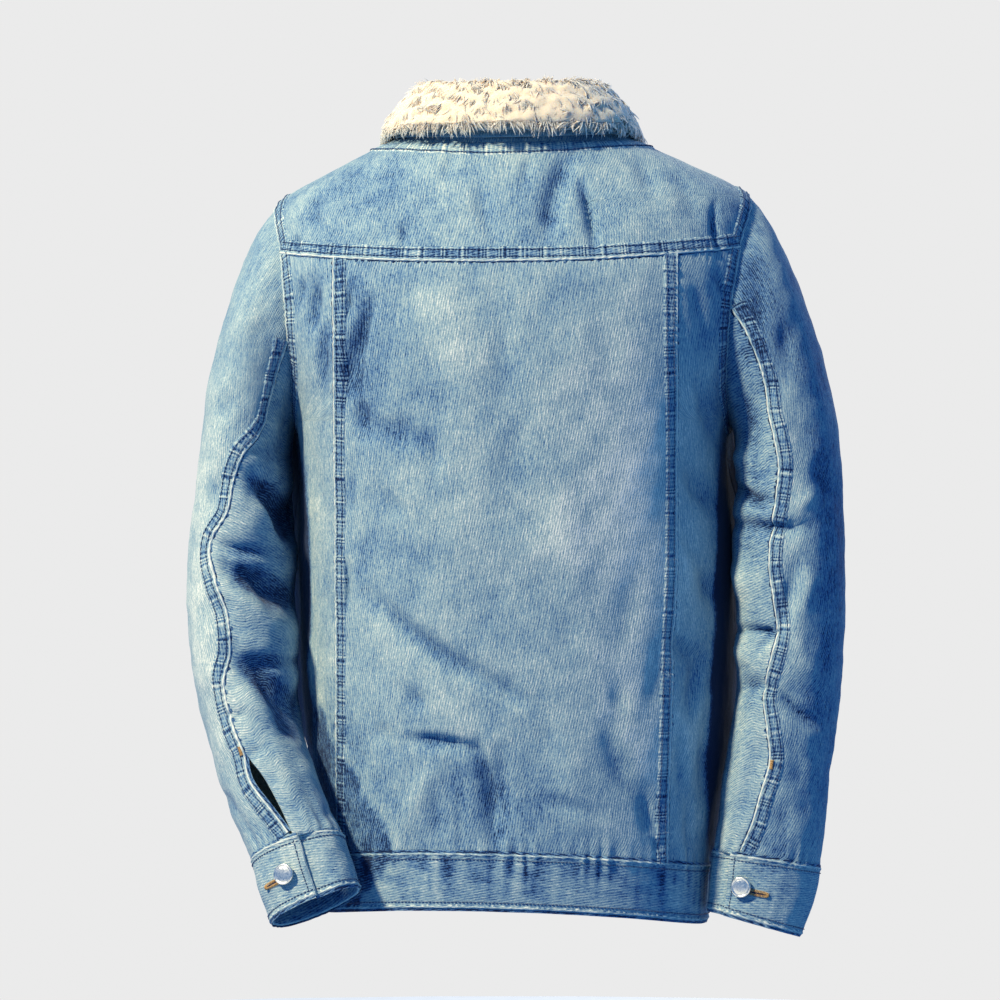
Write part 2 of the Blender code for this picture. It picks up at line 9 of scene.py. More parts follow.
import bpy
import numpy as np
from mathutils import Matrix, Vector


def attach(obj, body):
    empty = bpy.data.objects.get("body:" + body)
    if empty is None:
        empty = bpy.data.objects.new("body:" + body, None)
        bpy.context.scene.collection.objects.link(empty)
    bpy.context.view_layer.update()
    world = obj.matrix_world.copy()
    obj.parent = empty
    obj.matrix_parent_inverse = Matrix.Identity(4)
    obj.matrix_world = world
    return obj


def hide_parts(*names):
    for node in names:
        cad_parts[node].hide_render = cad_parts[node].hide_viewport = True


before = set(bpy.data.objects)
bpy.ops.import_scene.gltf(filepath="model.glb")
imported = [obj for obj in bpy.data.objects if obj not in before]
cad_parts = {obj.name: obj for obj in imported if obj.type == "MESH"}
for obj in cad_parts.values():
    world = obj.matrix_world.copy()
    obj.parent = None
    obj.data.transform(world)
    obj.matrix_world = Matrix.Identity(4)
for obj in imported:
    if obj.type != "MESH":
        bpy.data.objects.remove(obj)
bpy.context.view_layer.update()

# ---------------------------------------------------------------- driving sizes
BODY_WALL = 0.0030
SLEEVE_WALL = 0.0025
SLEEVE_RADIUS = 0.042    # about that of the wrist, for widths given as angles
BAND_WALL = 0.0030
BAND_RISE = 0.0008       # a band lies this far out from the panels
UNDERLAP = -0.0036       # the under end of a band lies this far in
PLACKET_HALF = 0.019
PLACKET_RISE = 0.0028
PRINCESS_LEFT = 0.140    # x of the long back seams
PRINCESS_RIGHT = 0.139
PRINCESS_LEAN = 0.008
FLEECE = 0.008
FOLD_RADIUS = 0.007      # of the collar's turn

V_BAND = 0.08            # levels of the body, 0 at the hem and 1 at the neck seam
V_ARM = 0.68
V_YOKE = 0.86
V_SHOULDER = 0.92
V_NECK_SEAM = 0.992
ARM_U = 0.0863           # half width of the armhole, as a share of the way round

CELL = 0.0034            # side of a mesh cell on the back
SLEEVE_CELL = 0.0039
FRONT_CELL = 0.0048
ARM_STEPS = 27           # the armhole's rows are a multiple of this
SEAM_STEP = 0.0012       # between the points of a raised seam
STITCH = 0.0030          # from one stitch to the next
STITCH_RADIUS = 0.00042
FELLED_ROWS = (0.0032, 0.0092)   # how far the two rows of stitches lie from the seam
NECK_ROWS = (0.0105,)
ON_SEAM = 0.0011         # stitches stand this far out on a raised seam
BODY_GAIN = 1.9          # by which the fine folds are deepened
SLEEVE_GAIN = 1.7
DICE = np.random.default_rng(11)


def hermite(t, a, b, slope_a, slope_b):
    """A smooth curve from a to b, with its slope at either end."""
    return ((2 * t**3 - 3 * t**2 + 1) * a + (t**3 - 2 * t**2 + t) * slope_a
            + (3 * t**2 - 2 * t**3) * b + (t**3 - t**2) * slope_b)


class Table:
    """Rows of named columns, read between the rows along a smooth curve."""

    def __init__(self, names, rows):
        self.names = names.split()
        self.rows = np.array(rows, float)
        self.keys = self.rows[:, 0]
        self.slopes = np.gradient(self.rows, self.keys, axis=0)

    def at(self, name, key):
        """The named column at each key."""
        j = self.names.index(name)
        i = np.clip(np.searchsorted(self.keys, key, side="right") - 1, 0, len(self.keys) - 2)
        span = self.keys[i + 1] - self.keys[i]
        return hermite((key - self.keys[i]) / span, self.rows[i, j], self.rows[i + 1, j],
                       self.slopes[i, j] * span, self.slopes[i + 1, j] * span)


# One row for each level of the body, hem to neck: where its ring crosses the middle of the back,
# the side and the middle of the front, how square the ring is, its slope across the body and how
# far it hangs to the wearer's right.
BODY = Table("v back_y back_z side_x side_y side_z front_y front_z square tilt sway", [
    (0.00, 0.123, -0.630, 0.160, -0.006, -0.646, 0.124, -0.656, 2.5, 0.025, 0.0035),
    (0.08, 0.127, -0.585, 0.1645, -0.018, -0.600, 0.129, -0.610, 2.5, 0.025, 0.0035),
    (0.30, 0.131, -0.470, 0.1830, -0.052, -0.477, 0.138, -0.482, 2.5, 0.020, 0.0045),
    (0.50, 0.135, -0.350, 0.186, -0.052, -0.352, 0.142, -0.353, 2.5, 0.005, 0.0035),
    (0.68, 0.140, -0.235, 0.181, -0.012, -0.235, 0.143, -0.238, 2.5, 0.0, 0.0),
    (0.80, 0.138, -0.150, 0.202, 0.0, -0.140, 0.137, -0.154, 2.45, -0.006, 0.0),
    (0.86, 0.132, -0.108, 0.205, 0.0, -0.091, 0.126, -0.118, 2.3, -0.009, 0.001),
    (0.92, 0.114, -0.058, 0.196, 0.0, -0.048, 0.112, -0.088, 2.1, -0.013, 0.0015),
    (0.96, 0.099, -0.027, 0.152, 0.0, -0.023, 0.101, -0.072, 2.05, -0.012, 0.000),
    (1.00, 0.085, -0.004, 0.0975, 0.0, 0.003, 0.090, -0.060, 2.0, -0.008, -0.0005),
])

# One row for each station of a sleeve and its cuff, armhole to wrist: the inner and outer edges
# seen from the back, the middle's y, half the depth, how far the ring swings back, the angle of
# the back seam (0 inner edge, 90 back, 180 outer edge) and half the width of the open slit.
SLEEVE_NAMES = "s in_x in_z out_x out_z mid_y deep swing seam slit"
CUFF_AT = 18             # the station where the cuff starts
CUFF_END = 20
SLEEVE = {
    "left": Table(SLEEVE_NAMES, [
        (0, 0.18, -0.235, 0.1970, -0.048, 0.000, 0.075, 0, 75, 0.0),
        (1, 0.184, -0.240, 0.2107, -0.069, 0.001, 0.0785, 0, 66, 0.0),
        (2, 0.186, -0.246, 0.2250, -0.103, 0.002, 0.081, 0, 59, 0.0),
        (3, 0.186, -0.254, 0.2375, -0.139, 0.004, 0.081, 2, 57, 0.0),
        (4, 0.1855, -0.264, 0.2465, -0.172, 0.006, 0.080, 3, 59, 0.0),
        (5, 0.1845, -0.278, 0.2535, -0.204, 0.008, 0.078, 4, 68, 0.0),
        (6, 0.183, -0.296, 0.2580, -0.238, 0.011, 0.075, 5, 84, 0.0),
        (7, 0.18, -0.316, 0.2615, -0.272, 0.014, 0.072, 6, 95, 0.0),
        (8, 0.179, -0.338, 0.2650, -0.306, 0.018, 0.069, 7, 100, 0.0),
        (9, 0.179, -0.360, 0.2685, -0.340, 0.022, 0.0665, 8, 117, 0.0),
        (10, 0.178, -0.384, 0.2692, -0.374, 0.027, 0.064, 10, 108, 0.0),
        (11, 0.1775, -0.408, 0.2680, -0.408, 0.033, 0.062, 13, 97, 0.0),
        (12, 0.1755, -0.432, 0.2640, -0.440, 0.040, 0.060, 15, 98, 0.0),
        (13, 0.173, -0.456, 0.2575, -0.470, 0.048, 0.057, 17, 110, 0.0),
        (14, 0.1695, -0.480, 0.2485, -0.500, 0.057, 0.054, 19, 112, 0.0),
        (15, 0.164, -0.504, 0.2400, -0.527, 0.067, 0.051, 20, 107, 0.0),
        (16, 0.155, -0.527, 0.2305, -0.551, 0.078, 0.047, 21, 102, 0.006),
        (17, 0.1445, -0.549, 0.2185, -0.573, 0.091, 0.043, 22, 96, 0.0045),
        (18, 0.133, -0.5725, 0.2059, -0.595, 0.105, 0.0375, 21, 90, 0.0015),
        (19, 0.1245, -0.5935, 0.1983, -0.6195, 0.1145, 0.0345, 19, 82, 0.0),
        (20, 0.1175, -0.6125, 0.1883, -0.642, 0.122, 0.0335, 18, 78, 0.0),
    ]),
    "right": Table(SLEEVE_NAMES, [
        (0, 0.180, -0.235, 0.1970, -0.048, 0.000, 0.075, 0, 90, 0.0),
        (1, 0.184, -0.240, 0.2132, -0.067, 0.001, 0.0785, 0, 86, 0.0),
        (2, 0.187, -0.246, 0.2315, -0.101, 0.002, 0.081, 0, 80, 0.0),
        (3, 0.1885, -0.254, 0.2465, -0.138, 0.002, 0.081, 0, 77, 0.0),
        (4, 0.1885, -0.264, 0.2570, -0.172, 0.005, 0.080, 0, 75, 0.0),
        (5, 0.1875, -0.278, 0.2650, -0.204, 0.009, 0.078, 0, 78, 0.0),
        (6, 0.186, -0.296, 0.2715, -0.238, 0.014, 0.075, 0, 80, 0.0),
        (7, 0.1845, -0.316, 0.2750, -0.272, 0.019, 0.072, 0, 76, 0.0),
        (8, 0.1845, -0.338, 0.2765, -0.306, 0.023, 0.069, 0, 70, 0.0),
        (9, 0.186, -0.361, 0.2775, -0.340, 0.026, 0.0665, 0, 67, 0.0),
        (10, 0.1875, -0.385, 0.2780, -0.374, 0.028, 0.064, 0, 70, 0.0),
        (11, 0.188, -0.410, 0.2770, -0.407, 0.030, 0.062, 2, 73, 0.0),
        (12, 0.188, -0.436, 0.2755, -0.438, 0.031, 0.060, 4, 67, 0.0),
        (13, 0.187, -0.462, 0.2725, -0.468, 0.032, 0.057, 6, 61, 0.0),
        (14, 0.183, -0.489, 0.2690, -0.496, 0.033, 0.054, 6, 71, 0.0),
        (15, 0.179, -0.516, 0.2650, -0.523, 0.034, 0.051, 6, 79, 0.0),
        (16, 0.175, -0.541, 0.2625, -0.550, 0.036, 0.048, 6, 73, 0.0005),
        (17, 0.172, -0.566, 0.2595, -0.577, 0.038, 0.0445, 6, 67, 0.001),
        (18, 0.169, -0.590, 0.2559, -0.603, 0.040, 0.0395, 6, 58, 0.0005),
        (19, 0.1665, -0.614, 0.2503, -0.631, 0.042, 0.0365, 6, 50, 0.0),
        (20, 0.1645, -0.637, 0.2403, -0.658, 0.044, 0.0345, 6, 46, 0.0),
    ]),
}
CUFF_EDGE = {"left": 84, "right": 49}        # angle of the free end of the cuff
CUFF_BUTTON = {"left": 110, "right": 67}

# One row for each place round the collar, back to front: how far the stand leans in, how high it
# folds above the neck seam, and where the leaf's lower edge lies from that seam.
COLLAR = Table("u lean height edge_out edge_up", [
    (0.00, -0.020, 0.042, 0.013, 0.006),
    (0.12, -0.022, 0.041, 0.011, 0.004),
    (0.25, -0.028, 0.037, 0.0075, 0.001),
    (0.36, -0.021, 0.034, 0.021, -0.003),
    (0.43, -0.014, 0.031, 0.038, -0.018),
    (0.49, -0.010, 0.029, 0.041, -0.042),
])

# The largest creases, as strokes seen from the back or the front: ends, depth in (a ridge when
# below nothing), half width, and the face of the cloth they lie on (1 back, -1 front).
BODY_CREASES = [
    (-0.045, -0.028, -0.035, -0.098, 0.0044, 0.015, 1),
    (-0.069, -0.045, -0.077, -0.098, 0.0044, 0.015, 1),
    (0.157, -0.115, 0.15, -0.175, 0.0037, 0.015, 1), (0.105, -0.125, 0.126, -0.23, 0.0037, 0.02, 1),
    (-0.15, -0.235, -0.168, -0.31, 0.0037, 0.018, 1),
    (-0.135, -0.4, -0.168, -0.465, 0.0044, 0.02, 1), (0.056, -0.5, 0.014, -0.58, 0.005, 0.02, 1),
    (-0.03, -0.48, 0.004, -0.575, 0.0037, 0.022, 1), (0.03, -0.24, 0.06, -0.42, -0.0037, 0.035, 1),
    (-0.06, -0.15, -0.08, -0.4, 0.0037, 0.037, 1), (0.14, -0.3, 0.04, -0.4, 0.005, 0.022, -1),
    (-0.14, -0.29, -0.05, -0.37, 0.005, 0.022, -1), (0.12, -0.47, 0.04, -0.56, 0.005, 0.022, -1),
    (-0.11, -0.45, -0.04, -0.57, 0.005, 0.022, -1),
]
SLEEVE_CREASES = {
    "left": [
        (0.18, -0.3, 0.222, -0.278, 0.0075, 0.015, 1),
        (0.182, -0.352, 0.25, -0.338, 0.01, 0.018, 1),
        (0.186, -0.392, 0.232, -0.358, 0.01, 0.016, 1),
        (0.178, -0.442, 0.228, -0.424, 0.0088, 0.018, 1),
        (0.17, -0.492, 0.222, -0.468, 0.0075, 0.016, 1),
        (0.215, -0.38, 0.262, -0.4, 0.005, 0.018, 1), (0.19, -0.33, 0.25, -0.36, 0.0063, 0.018, -1),
        (0.185, -0.4, 0.245, -0.38, 0.0075, 0.018, -1),
        (0.18, -0.45, 0.24, -0.44, 0.0063, 0.018, -1),
    ],
    "right": [
        (-0.187, -0.318, -0.205, -0.352, 0.0063, 0.015, 1),
        (-0.19, -0.4, -0.224, -0.412, 0.0075, 0.016, 1),
        (-0.192, -0.466, -0.222, -0.452, 0.0075, 0.016, 1),
        (-0.222, -0.458, -0.262, -0.47, 0.0063, 0.016, 1),
        (-0.24, -0.388, -0.266, -0.42, 0.005, 0.016, 1),
        (-0.19, -0.35, -0.25, -0.37, 0.0063, 0.018, -1),
        (-0.19, -0.43, -0.25, -0.41, 0.0075, 0.018, -1),
    ],
}

PLACKET_BUTTONS = (0.83, 0.68, 0.525, 0.365, 0.205)
BAND_BUTTON = 0.04

# Finer folds measured in mm, seen from the back: ends, bow, depth (a ridge when below nothing) and
# the half width, or two half widths for a fold that is steeper on one side.
BODY_FOLDS = [
    (-50, -21, -35, -81, 2, 2.2, 7.3), (-63, -42, -74, -97, -2, 2.4, 4.9, 2.2),
    (-170, -58, -174, -101, 2, 1.8, 3.2), (82, -76, 81, -93, 0, 1.2, 3.2),
    (159, -49, 155, -79, 2, 1.2, 5.7), (21, -44, 8, -90, 2, 1.2, 6.5),
    (174, -85, 171, -98, 0, 1.6, 2.4), (45, -14, 48, -39, 0, 0.8, 4),
    (-19, -22, -14, -45, 0, 0.8, 4), (-108, -21, -121, -56, 0, 0.9, 7.3),
    (-141, -42, -158, -76, 0, 0.8, 6.5), (122, -26, 126, -54, 0, 0.8, 6.5),
    (167, -120, 171, -139, 0, 2, 3.2), (157, -121, 158, -158, -1, 3.2, 4.9),
    (149, -162, 149, -218, 0, 1.6, 4), (127, -128, 126, -154, 0, 2.2, 2.4),
    (108, -142, 119, -207, 3, 4.2, 8.1, 3.6), (127, -179, 128, -216, 0, 2.6, 5.7),
    (117, -219, 115, -245, 0, 2.6, 5.7), (112, -240, 57, -258, -3, 1.8, 10.5),
    (59, -256, 55, -280, 0, 1.6, 7.3), (98, -293, 81, -316, 0, 1.5, 7.3),
    (126, -274, 128, -316, 0, 1.2, 4.9), (130, -349, 131, -388, 0, 2.4, 1.5, 3.2),
    (2, -139, -2, -220, 0, 1.3, 11.3), (-14, -229, -4, -299, 0, 1, 13),
    (-77, -139, -86, -204, 0, 1, 13), (109, -379, 1, -451, 6, 3.4, 8.1),
    (4, -449, -21, -467, 0, 2, 7.3), (104, -480, 95, -501, 0, 1.8, 7.3),
    (81, -454, 63, -467, 0, 1.6, 6.5), (77, -492, 25, -499, -2, 3.4, 7.3, 3.3),
    (20, -499, 8, -572, -4, 4.6, 8.9, 4), (3, -504, 1, -565, 0, 2.6, 7.3),
    (57, -534, 52, -578, 0, 1.5, 5.7), (36, -541, 34, -578, 0, 1.2, 4),
    (-89, -445, -95, -474, 0, 1.8, 7.3), (-83, -483, -114, -543, 6, 3, 8.9),
    (-114, -538, -117, -572, 0, 2.6, 6.5), (-37, -541, -72, -553, 0, 1.8, 6.5),
    (-28, -453, -44, -508, 0, 1, 11.3), (-45, -381, -61, -429, 0, 1, 11.3),
    (-108, -348, -94, -413, 0, 1.4, 11.3), (-125, -414, -119, -462, 0, 1.3, 7.3),
    (-121, -576, -126, -586, 0, 1.6, 3.2), (-139, -410, -160, -430, 2, 3.6, 8.9, 4),
    (-160, -430, -151, -473, 0, 3.4, 7.3, 3.3), (-140, -497, -142, -536, 0, 2, 4.9),
    (-160, -354, -168, -386, 0, 3, 6.5), (-149, -274, -167, -304, 2, 3.2, 7.3),
    (-143, -324, -156, -349, 0, 1.6, 5.7), (-157, -203, -167, -251, 0, 1.8, 5.7),
    (-162, -481, -161, -547, 0, 2, 5.7), (-148, -545, -149, -587, 0, 1.6, 4),
    (-172, -115, -177, -133, 0, 1.8, 3.2), (-153, -125, -161, -163, 0, 1.4, 5.7),
    (166, -417, 163, -466, 0, -1.2, 4.9), (165, -243, 170, -350, 0, -1, 5.7),
    (52, -116, 26, -235, 0, -1.4, 17.8), (20, -332, -45, -348, 0, -1, 20.2),
    (-45, -284, -61, -412, 0, -1.4, 16.2), (59, -453, -13, -525, 0, -1.6, 13),
    (-45, -485, -65, -573, 0, -1.4, 13), (86, -567, 51, -509, 0, -1.2, 9.7),
]
SLEEVE_FOLDS = {
    "left": [
        (206, -283, 179, -325, -6, 8.5, 12.1, 5.5), (182, -304, 179, -338, 0, 5, 10.5),
        (210, -260, 199, -260, 0, 2.2, 3.2), (199, -251, 185, -271, 0, 2, 9.7),
        (241, -334, 188, -342, 2, 3, 6.5, 2.9), (226, -357, 180, -384, -6, 9, 12.1, 5.5),
        (196, -360, 178, -384, 0, 5, 10.5), (220, -426, 171, -474, -6, 9.5, 13.8, 6.2),
        (201, -427, 176, -433, 0, 5, 7.3, 3.3), (182, -455, 165, -499, 0, 5, 11.3),
        (242, -362, 185, -406, 0, -3.6, 9.7), (202, -300, 183, -337, 0, -2.5, 6.5),
        (217, -455, 188, -480, 0, -2.5, 11.3), (227, -475, 214, -474, 0, 2.2, 2.4),
        (207, -508, 197, -501, 0, 1.4, 3.2), (167, -519, 141, -566, 0, 2.4, 8.1),
        (152, -557, 135, -568, 0, 2.4, 3.2), (146, -567, 130, -578, 0, 2, 3.2),
        (151, -549, 139, -558, 0, 2, 3.2), (236, -539, 219, -556, 0, 2, 4.9),
        (216, -555, 199, -582, 0, 1.8, 4.9), (247, -382, 239, -463, 0, -1.4, 9.7),
        (201, -160, 185, -154, 0, 2.6, 6.5), (221, -135, 201, -201, 0, -1.4, 11.3),
        (234, -283, 248, -317, 0, 1.4, 8.1), (242, -234, 225, -218, 0, 1.2, 9.7),
    ],
    "right": [
        (-187, -124, -195, -142, 0, 3, 5.7), (-203, -106, -206, -156, 0, 2.6, 4),
        (-224, -155, -231, -190, 0, 1.8, 5.7), (-187, -287, -212, -300, 3, 5, 7.3, 3.3),
        (-186, -318, -243, -320, 2, 4.6, 7.3, 3.3), (-188, -406, -219, -408, -2, 4.4, 4, 1.8),
        (-214, -409, -205, -422, 0, 2.6, 4), (-219, -454, -255, -481, 3, 3.6, 7.3, 3.3),
        (-190, -456, -211, -449, 0, 2.4, 5.7), (-235, -349, -225, -402, 0, 2.6, 6.5),
        (-248, -360, -238, -397, 0, -2, 6.5), (-255, -276, -267, -300, 0, 3, 7.3),
        (-239, -296, -248, -304, 0, -2, 9.7), (-189, -256, -194, -275, 0, -2.6, 8.1),
        (-186, -350, -194, -382, 0, -2.4, 8.1), (-188, -416, -197, -436, 0, -2, 7.3),
        (-229, -389, -243, -446, 0, -1.6, 9.7), (-206, -480, -196, -553, 0, 1.4, 7.3),
        (-231, -495, -244, -545, 0, 1.6, 8.1), (-238, -422, -260, -455, 0, -2, 7.3),
        (-195, -496, -189, -537, 0, -1.2, 6.5), (-222, -545, -230, -577, 0, 1.2, 5.7),
        (-218, -219, -230, -268, 0, -1.2, 9.7), (-230, -235, -248, -251, 0, 1.8, 8.1),
    ],
}

# Lighter and darker patches in mm: middle x and z, half widths, amount. Some are fading left by the
# wash; the rest are painted light and shade, with painted shade in the strip by the right sleeve.
BODY_FADES_AND_PAINTED_LIGHT = [
    (35, -157, 30, 45, 0.2), (-40, -283, 34, 70, 0.25), (-53, -182, 26, 55, 0.1),
    (0, -340, 70, 130, 0.35), (155, -330, 20, 150, 0.25), (110, -60, 60, 50, -0.35),
    (-115, -75, 50, 50, -0.35), (-20, -70, 30, 50, -0.25), (95, -440, 30, 60, 0.1),
    (120, -140, 25, 60, -0.35), (95, -190, 50, 60, -0.2), (-105, -300, 48, 200, 1.45),
    (-125, -520, 52, 110, 0.35), (-152, -330, 14, 190, 0.5), (-180, -350, 9, 240, -0.9),
]
# Mostly painted light and shade: the right sleeve's outer half and the part under its shoulder are
# darker, the left sleeve's lit side lighter.
SLEEVE_FADES_AND_PAINTED_LIGHT = {
    "left": [(235, -200, 40, 90, 0.1), (253, -335, 22, 110, 0.9), (232, -470, 24, 80, 0.8),
             (190, -520, 40, 60, 0.3)],
    "right": [(-268, -330, 24, 210, -0.9), (-197, -150, 20, 70, -1.1), (-203, -290, 15, 70, -0.5),
              (-232, -300, 14, 120, 0.4), (-205, -520, 22, 60, 0.25), (-245, -130, 30, 60, -0.6)],
}
# The left sleeve keeps the light off the body outside this line, in mm: depth below zero and x.
SLEEVE_SHADE = [
    (440, 200), (464, 162), (485, 147), (506, 139), (518, 127), (531, 118), (543, 113), (552, 102),
    (569, 96), (585, 88), (600, 94), (611, 102), (623, 115), (640, 124), (700, 126),
]


def ease(x, low, high):
    """Runs smoothly from 0 at low to 1 at high."""
    t = np.clip((x - low) / (high - low), 0, 1)
    return t * t * (3 - 2 * t)


def unit(a):
    """Vectors brought to length one."""
    return a / np.maximum(np.linalg.norm(a, axis=-1, keepdims=True), 1e-12)


def facing(form, a, b):
    """Outward normals of a form of two parameters."""
    e = 1e-4
    along = form(a + e, b) - form(a - e, b)
    up = form(a, b + e) - form(a, b - e)
    return unit(np.cross(up, along))


def unevenness(points, size, seed):
    """A smooth random field between about -1 and 1 whose waves are about size long."""
    dice = np.random.default_rng(seed)
    total = np.zeros(points.shape[:-1])
    for _ in range(7):
        way = unit(dice.normal(size=3)) * dice.uniform(0.6, 1.7)
        total += np.sin(points @ way * (2 * math.pi / size) + dice.uniform(0, 6.3))
    return total / 3.2


def wobble(t, pitch, seed):
    """Uneven waves along a seam."""
    k = 2 * math.pi / pitch
    shift = 1.9 * np.sin(k * t / 3.7 + seed) + 1.3 * np.sin(k * t / 7.9 + 2 * seed)
    return np.sin(k * t + shift) * (0.62 + 0.38 * np.sin(k * t / 5.3 + 3 * seed))


def creased(points, normals, creases):
    """Height of the solid's own creases at each point, along its normal."""
    height = np.zeros(points.shape[:-1])
    for x0, z0, x1, z1, depth, wide, face in creases:
        run = np.array([x1 - x0, z1 - z0])
        rel = points[..., [0, 2]] - np.array([x0, z0])
        t = np.clip(rel @ run / (run @ run), 0, 1)
        near = rel - t[..., None] * run
        fall = np.exp(-(near ** 2).sum(-1) / wide ** 2)
        height -= depth * fall * (0.35 + 0.65 * np.sin(math.pi * t)) * ease(
            face * normals[..., 1], 0.0, 0.5)
    return height


def strokes(points, normals, rows, low, high):
    """Height of the fine folds, drawn as bowed strokes with two half widths, on the back."""
    height = np.zeros(points.shape[:-1])
    for row in rows:
        x0, z0, x1, z1, bow, depth, wide_a, wide_b = np.array([*row, row[-1]][:8]) / 1000
        run = np.array([x1 - x0, z1 - z0])
        long = math.hypot(*run)
        rel = points[..., [0, 2]] - np.array([x0, z0])
        t = rel @ run / long ** 2
        inside = np.clip(t, 0, 1)
        across = rel @ np.array([-run[1], run[0]]) / long - bow * 4 * inside * (1 - inside)
        wide = np.where(across > 0, wide_a, wide_b)
        past = (t - inside) * long / (0.6 * (wide_a + wide_b))
        fall = np.exp(-(across / wide) ** 2 - past ** 2)
        height -= depth * fall * (0.35 + 0.65 * np.sin(math.pi * inside))
    return height * ease(normals[..., 1], low, high)


def washed(points, rows):
    """How much lighter or darker the tables of patches make each point: fading, and painted light
    and shade.
    """
    total = np.zeros(points.shape[:-1])
    for x, z, wide, tall, amount in rows:
        d = ((points[..., 0] * 1000 - x) / wide) ** 2 + ((points[..., 2] * 1000 - z) / tall) ** 2
        total += amount * np.exp(-d)
    return total * (points[..., 1] > 0)


# ---------------------------------------------------------------- body form
def body_ring(u, v):
    """The smooth body: u runs round from the middle of the back over +X, v goes up."""
    s, c = np.sin(2 * math.pi * u), np.cos(2 * math.pi * u)
    n = BODY.at("square", v)
    m = (np.abs(s) ** n + np.abs(c) ** n) ** (-1 / n)
    back = c > 0
    side_y, side_z = BODY.at("side_y", v), BODY.at("side_z", v)
    end_y = np.where(back, BODY.at("back_y", v), -BODY.at("front_y", v))
    end_z = np.where(back, BODY.at("back_z", v), BODY.at("front_z", v))
    x = BODY.at("side_x", v) * s * m
    y = side_y + (end_y - side_y) * np.abs(c * m)
    z = side_z + (end_z - side_z) * (c * m) ** 2
    return np.stack([x - BODY.at("sway", v), y, z + BODY.at("tilt", v) * x], -1)


def body_normal(u, v):
    """Outward normal of the smooth body."""
    return facing(body_ring, u, v)


def girth(form, u, v):
    """Metres for each unit of the first parameter."""
    return np.linalg.norm(form(u + 1e-3, v) - form(u - 1e-3, v), axis=-1) / 2e-3


def arm_half(v):
    """Half the width of the armhole at a level, as a share of the way round."""
    share = np.clip((v - V_ARM) / (V_SHOULDER - V_ARM), 0, 1)
    return ARM_U * np.sin(np.arccos(1 - 2 * share))


def flank(p):
    """Where the body's sides fill out behind the sleeves."""
    low = np.exp(-((p[..., 1] + 0.064) / 0.026) ** 2) * ease(np.abs(p[..., 0]), 0.12, 0.17)
    return low * ease(p[..., 2], -0.56, -0.46) * (1 - ease(p[..., 2], -0.235, -0.20))


def body_folds(v, p, n):
    """Height of the body's listed folds."""
    h = BODY_GAIN * strokes(p, n, BODY_FOLDS, 0.0, 0.3)
    h += creased(p, n, BODY_CREASES) * np.where(n[..., 1] > 0, 0.4, 1)
    h = h * (1 + 0.5 * ease(v, V_YOKE - 0.02, V_YOKE + 0.02)) * (1 - 0.8 * ease(v, 0.96, 1.0))
    left = 0.010 + 0.011 * np.exp(-((p[..., 2] + 0.262) / 0.050) ** 2)
    right = 0.005 + 0.0145 * np.exp(-((p[..., 2] + 0.277) / 0.055) ** 2)
    return h + flank(p) * np.where(p[..., 0] > 0, left, right)


def body_puckers(u, v, p):
    """Height of the small puckers that the seams draw into the body."""
    metres = girth(body_ring, u, v)
    h = 0.0005 * unevenness(p, 0.055, 3) + 0.00022 * unevenness(p, 0.021, 4)
    back = np.abs(u) < 0.26
    for side in ("left", "right"):
        d = (u - princess(np.clip(v, V_BAND, V_YOKE), side)) * metres
        h += (back * (v < V_YOKE) * 0.00042 * wobble(p[..., 2], 0.0085, 2)
              * np.exp(-(d / 0.009) ** 2))
    d = (v - V_YOKE) * 0.75
    h += back * 0.0005 * wobble(p[..., 0], 0.0075, 5) * np.exp(-(d / 0.009) ** 2)
    d = (v - V_BAND) * 0.55
    h += (0.0014 * wobble(p[..., 0] + 0.5 * p[..., 1], 0.015, 1) * np.exp(-(d / 0.015) ** 2)
          * (v < V_BAND + 0.03))
    d = (1 - v) * 0.42
    h += 0.0005 * wobble(p[..., 0], 0.0085, 7) * np.exp(-(d / 0.012) ** 2)
    d = (np.abs(np.abs(u) - 0.25) - arm_half(v)) * metres
    on = (v > V_ARM - 0.02) & (v < V_SHOULDER + 0.01)
    h += on * 0.0005 * wobble(p[..., 2], 0.009, 9) * np.exp(-(d / 0.010) ** 2)
    return h * (1 - 0.75 * ease(v, 0.955, 1.0))


def body(u, v):
    """Points of the finished body."""
    p, n = body_ring(u, v), body_normal(u, v)
    return p + n * (body_folds(v, p, n) + body_puckers(u, v, p))[..., None]


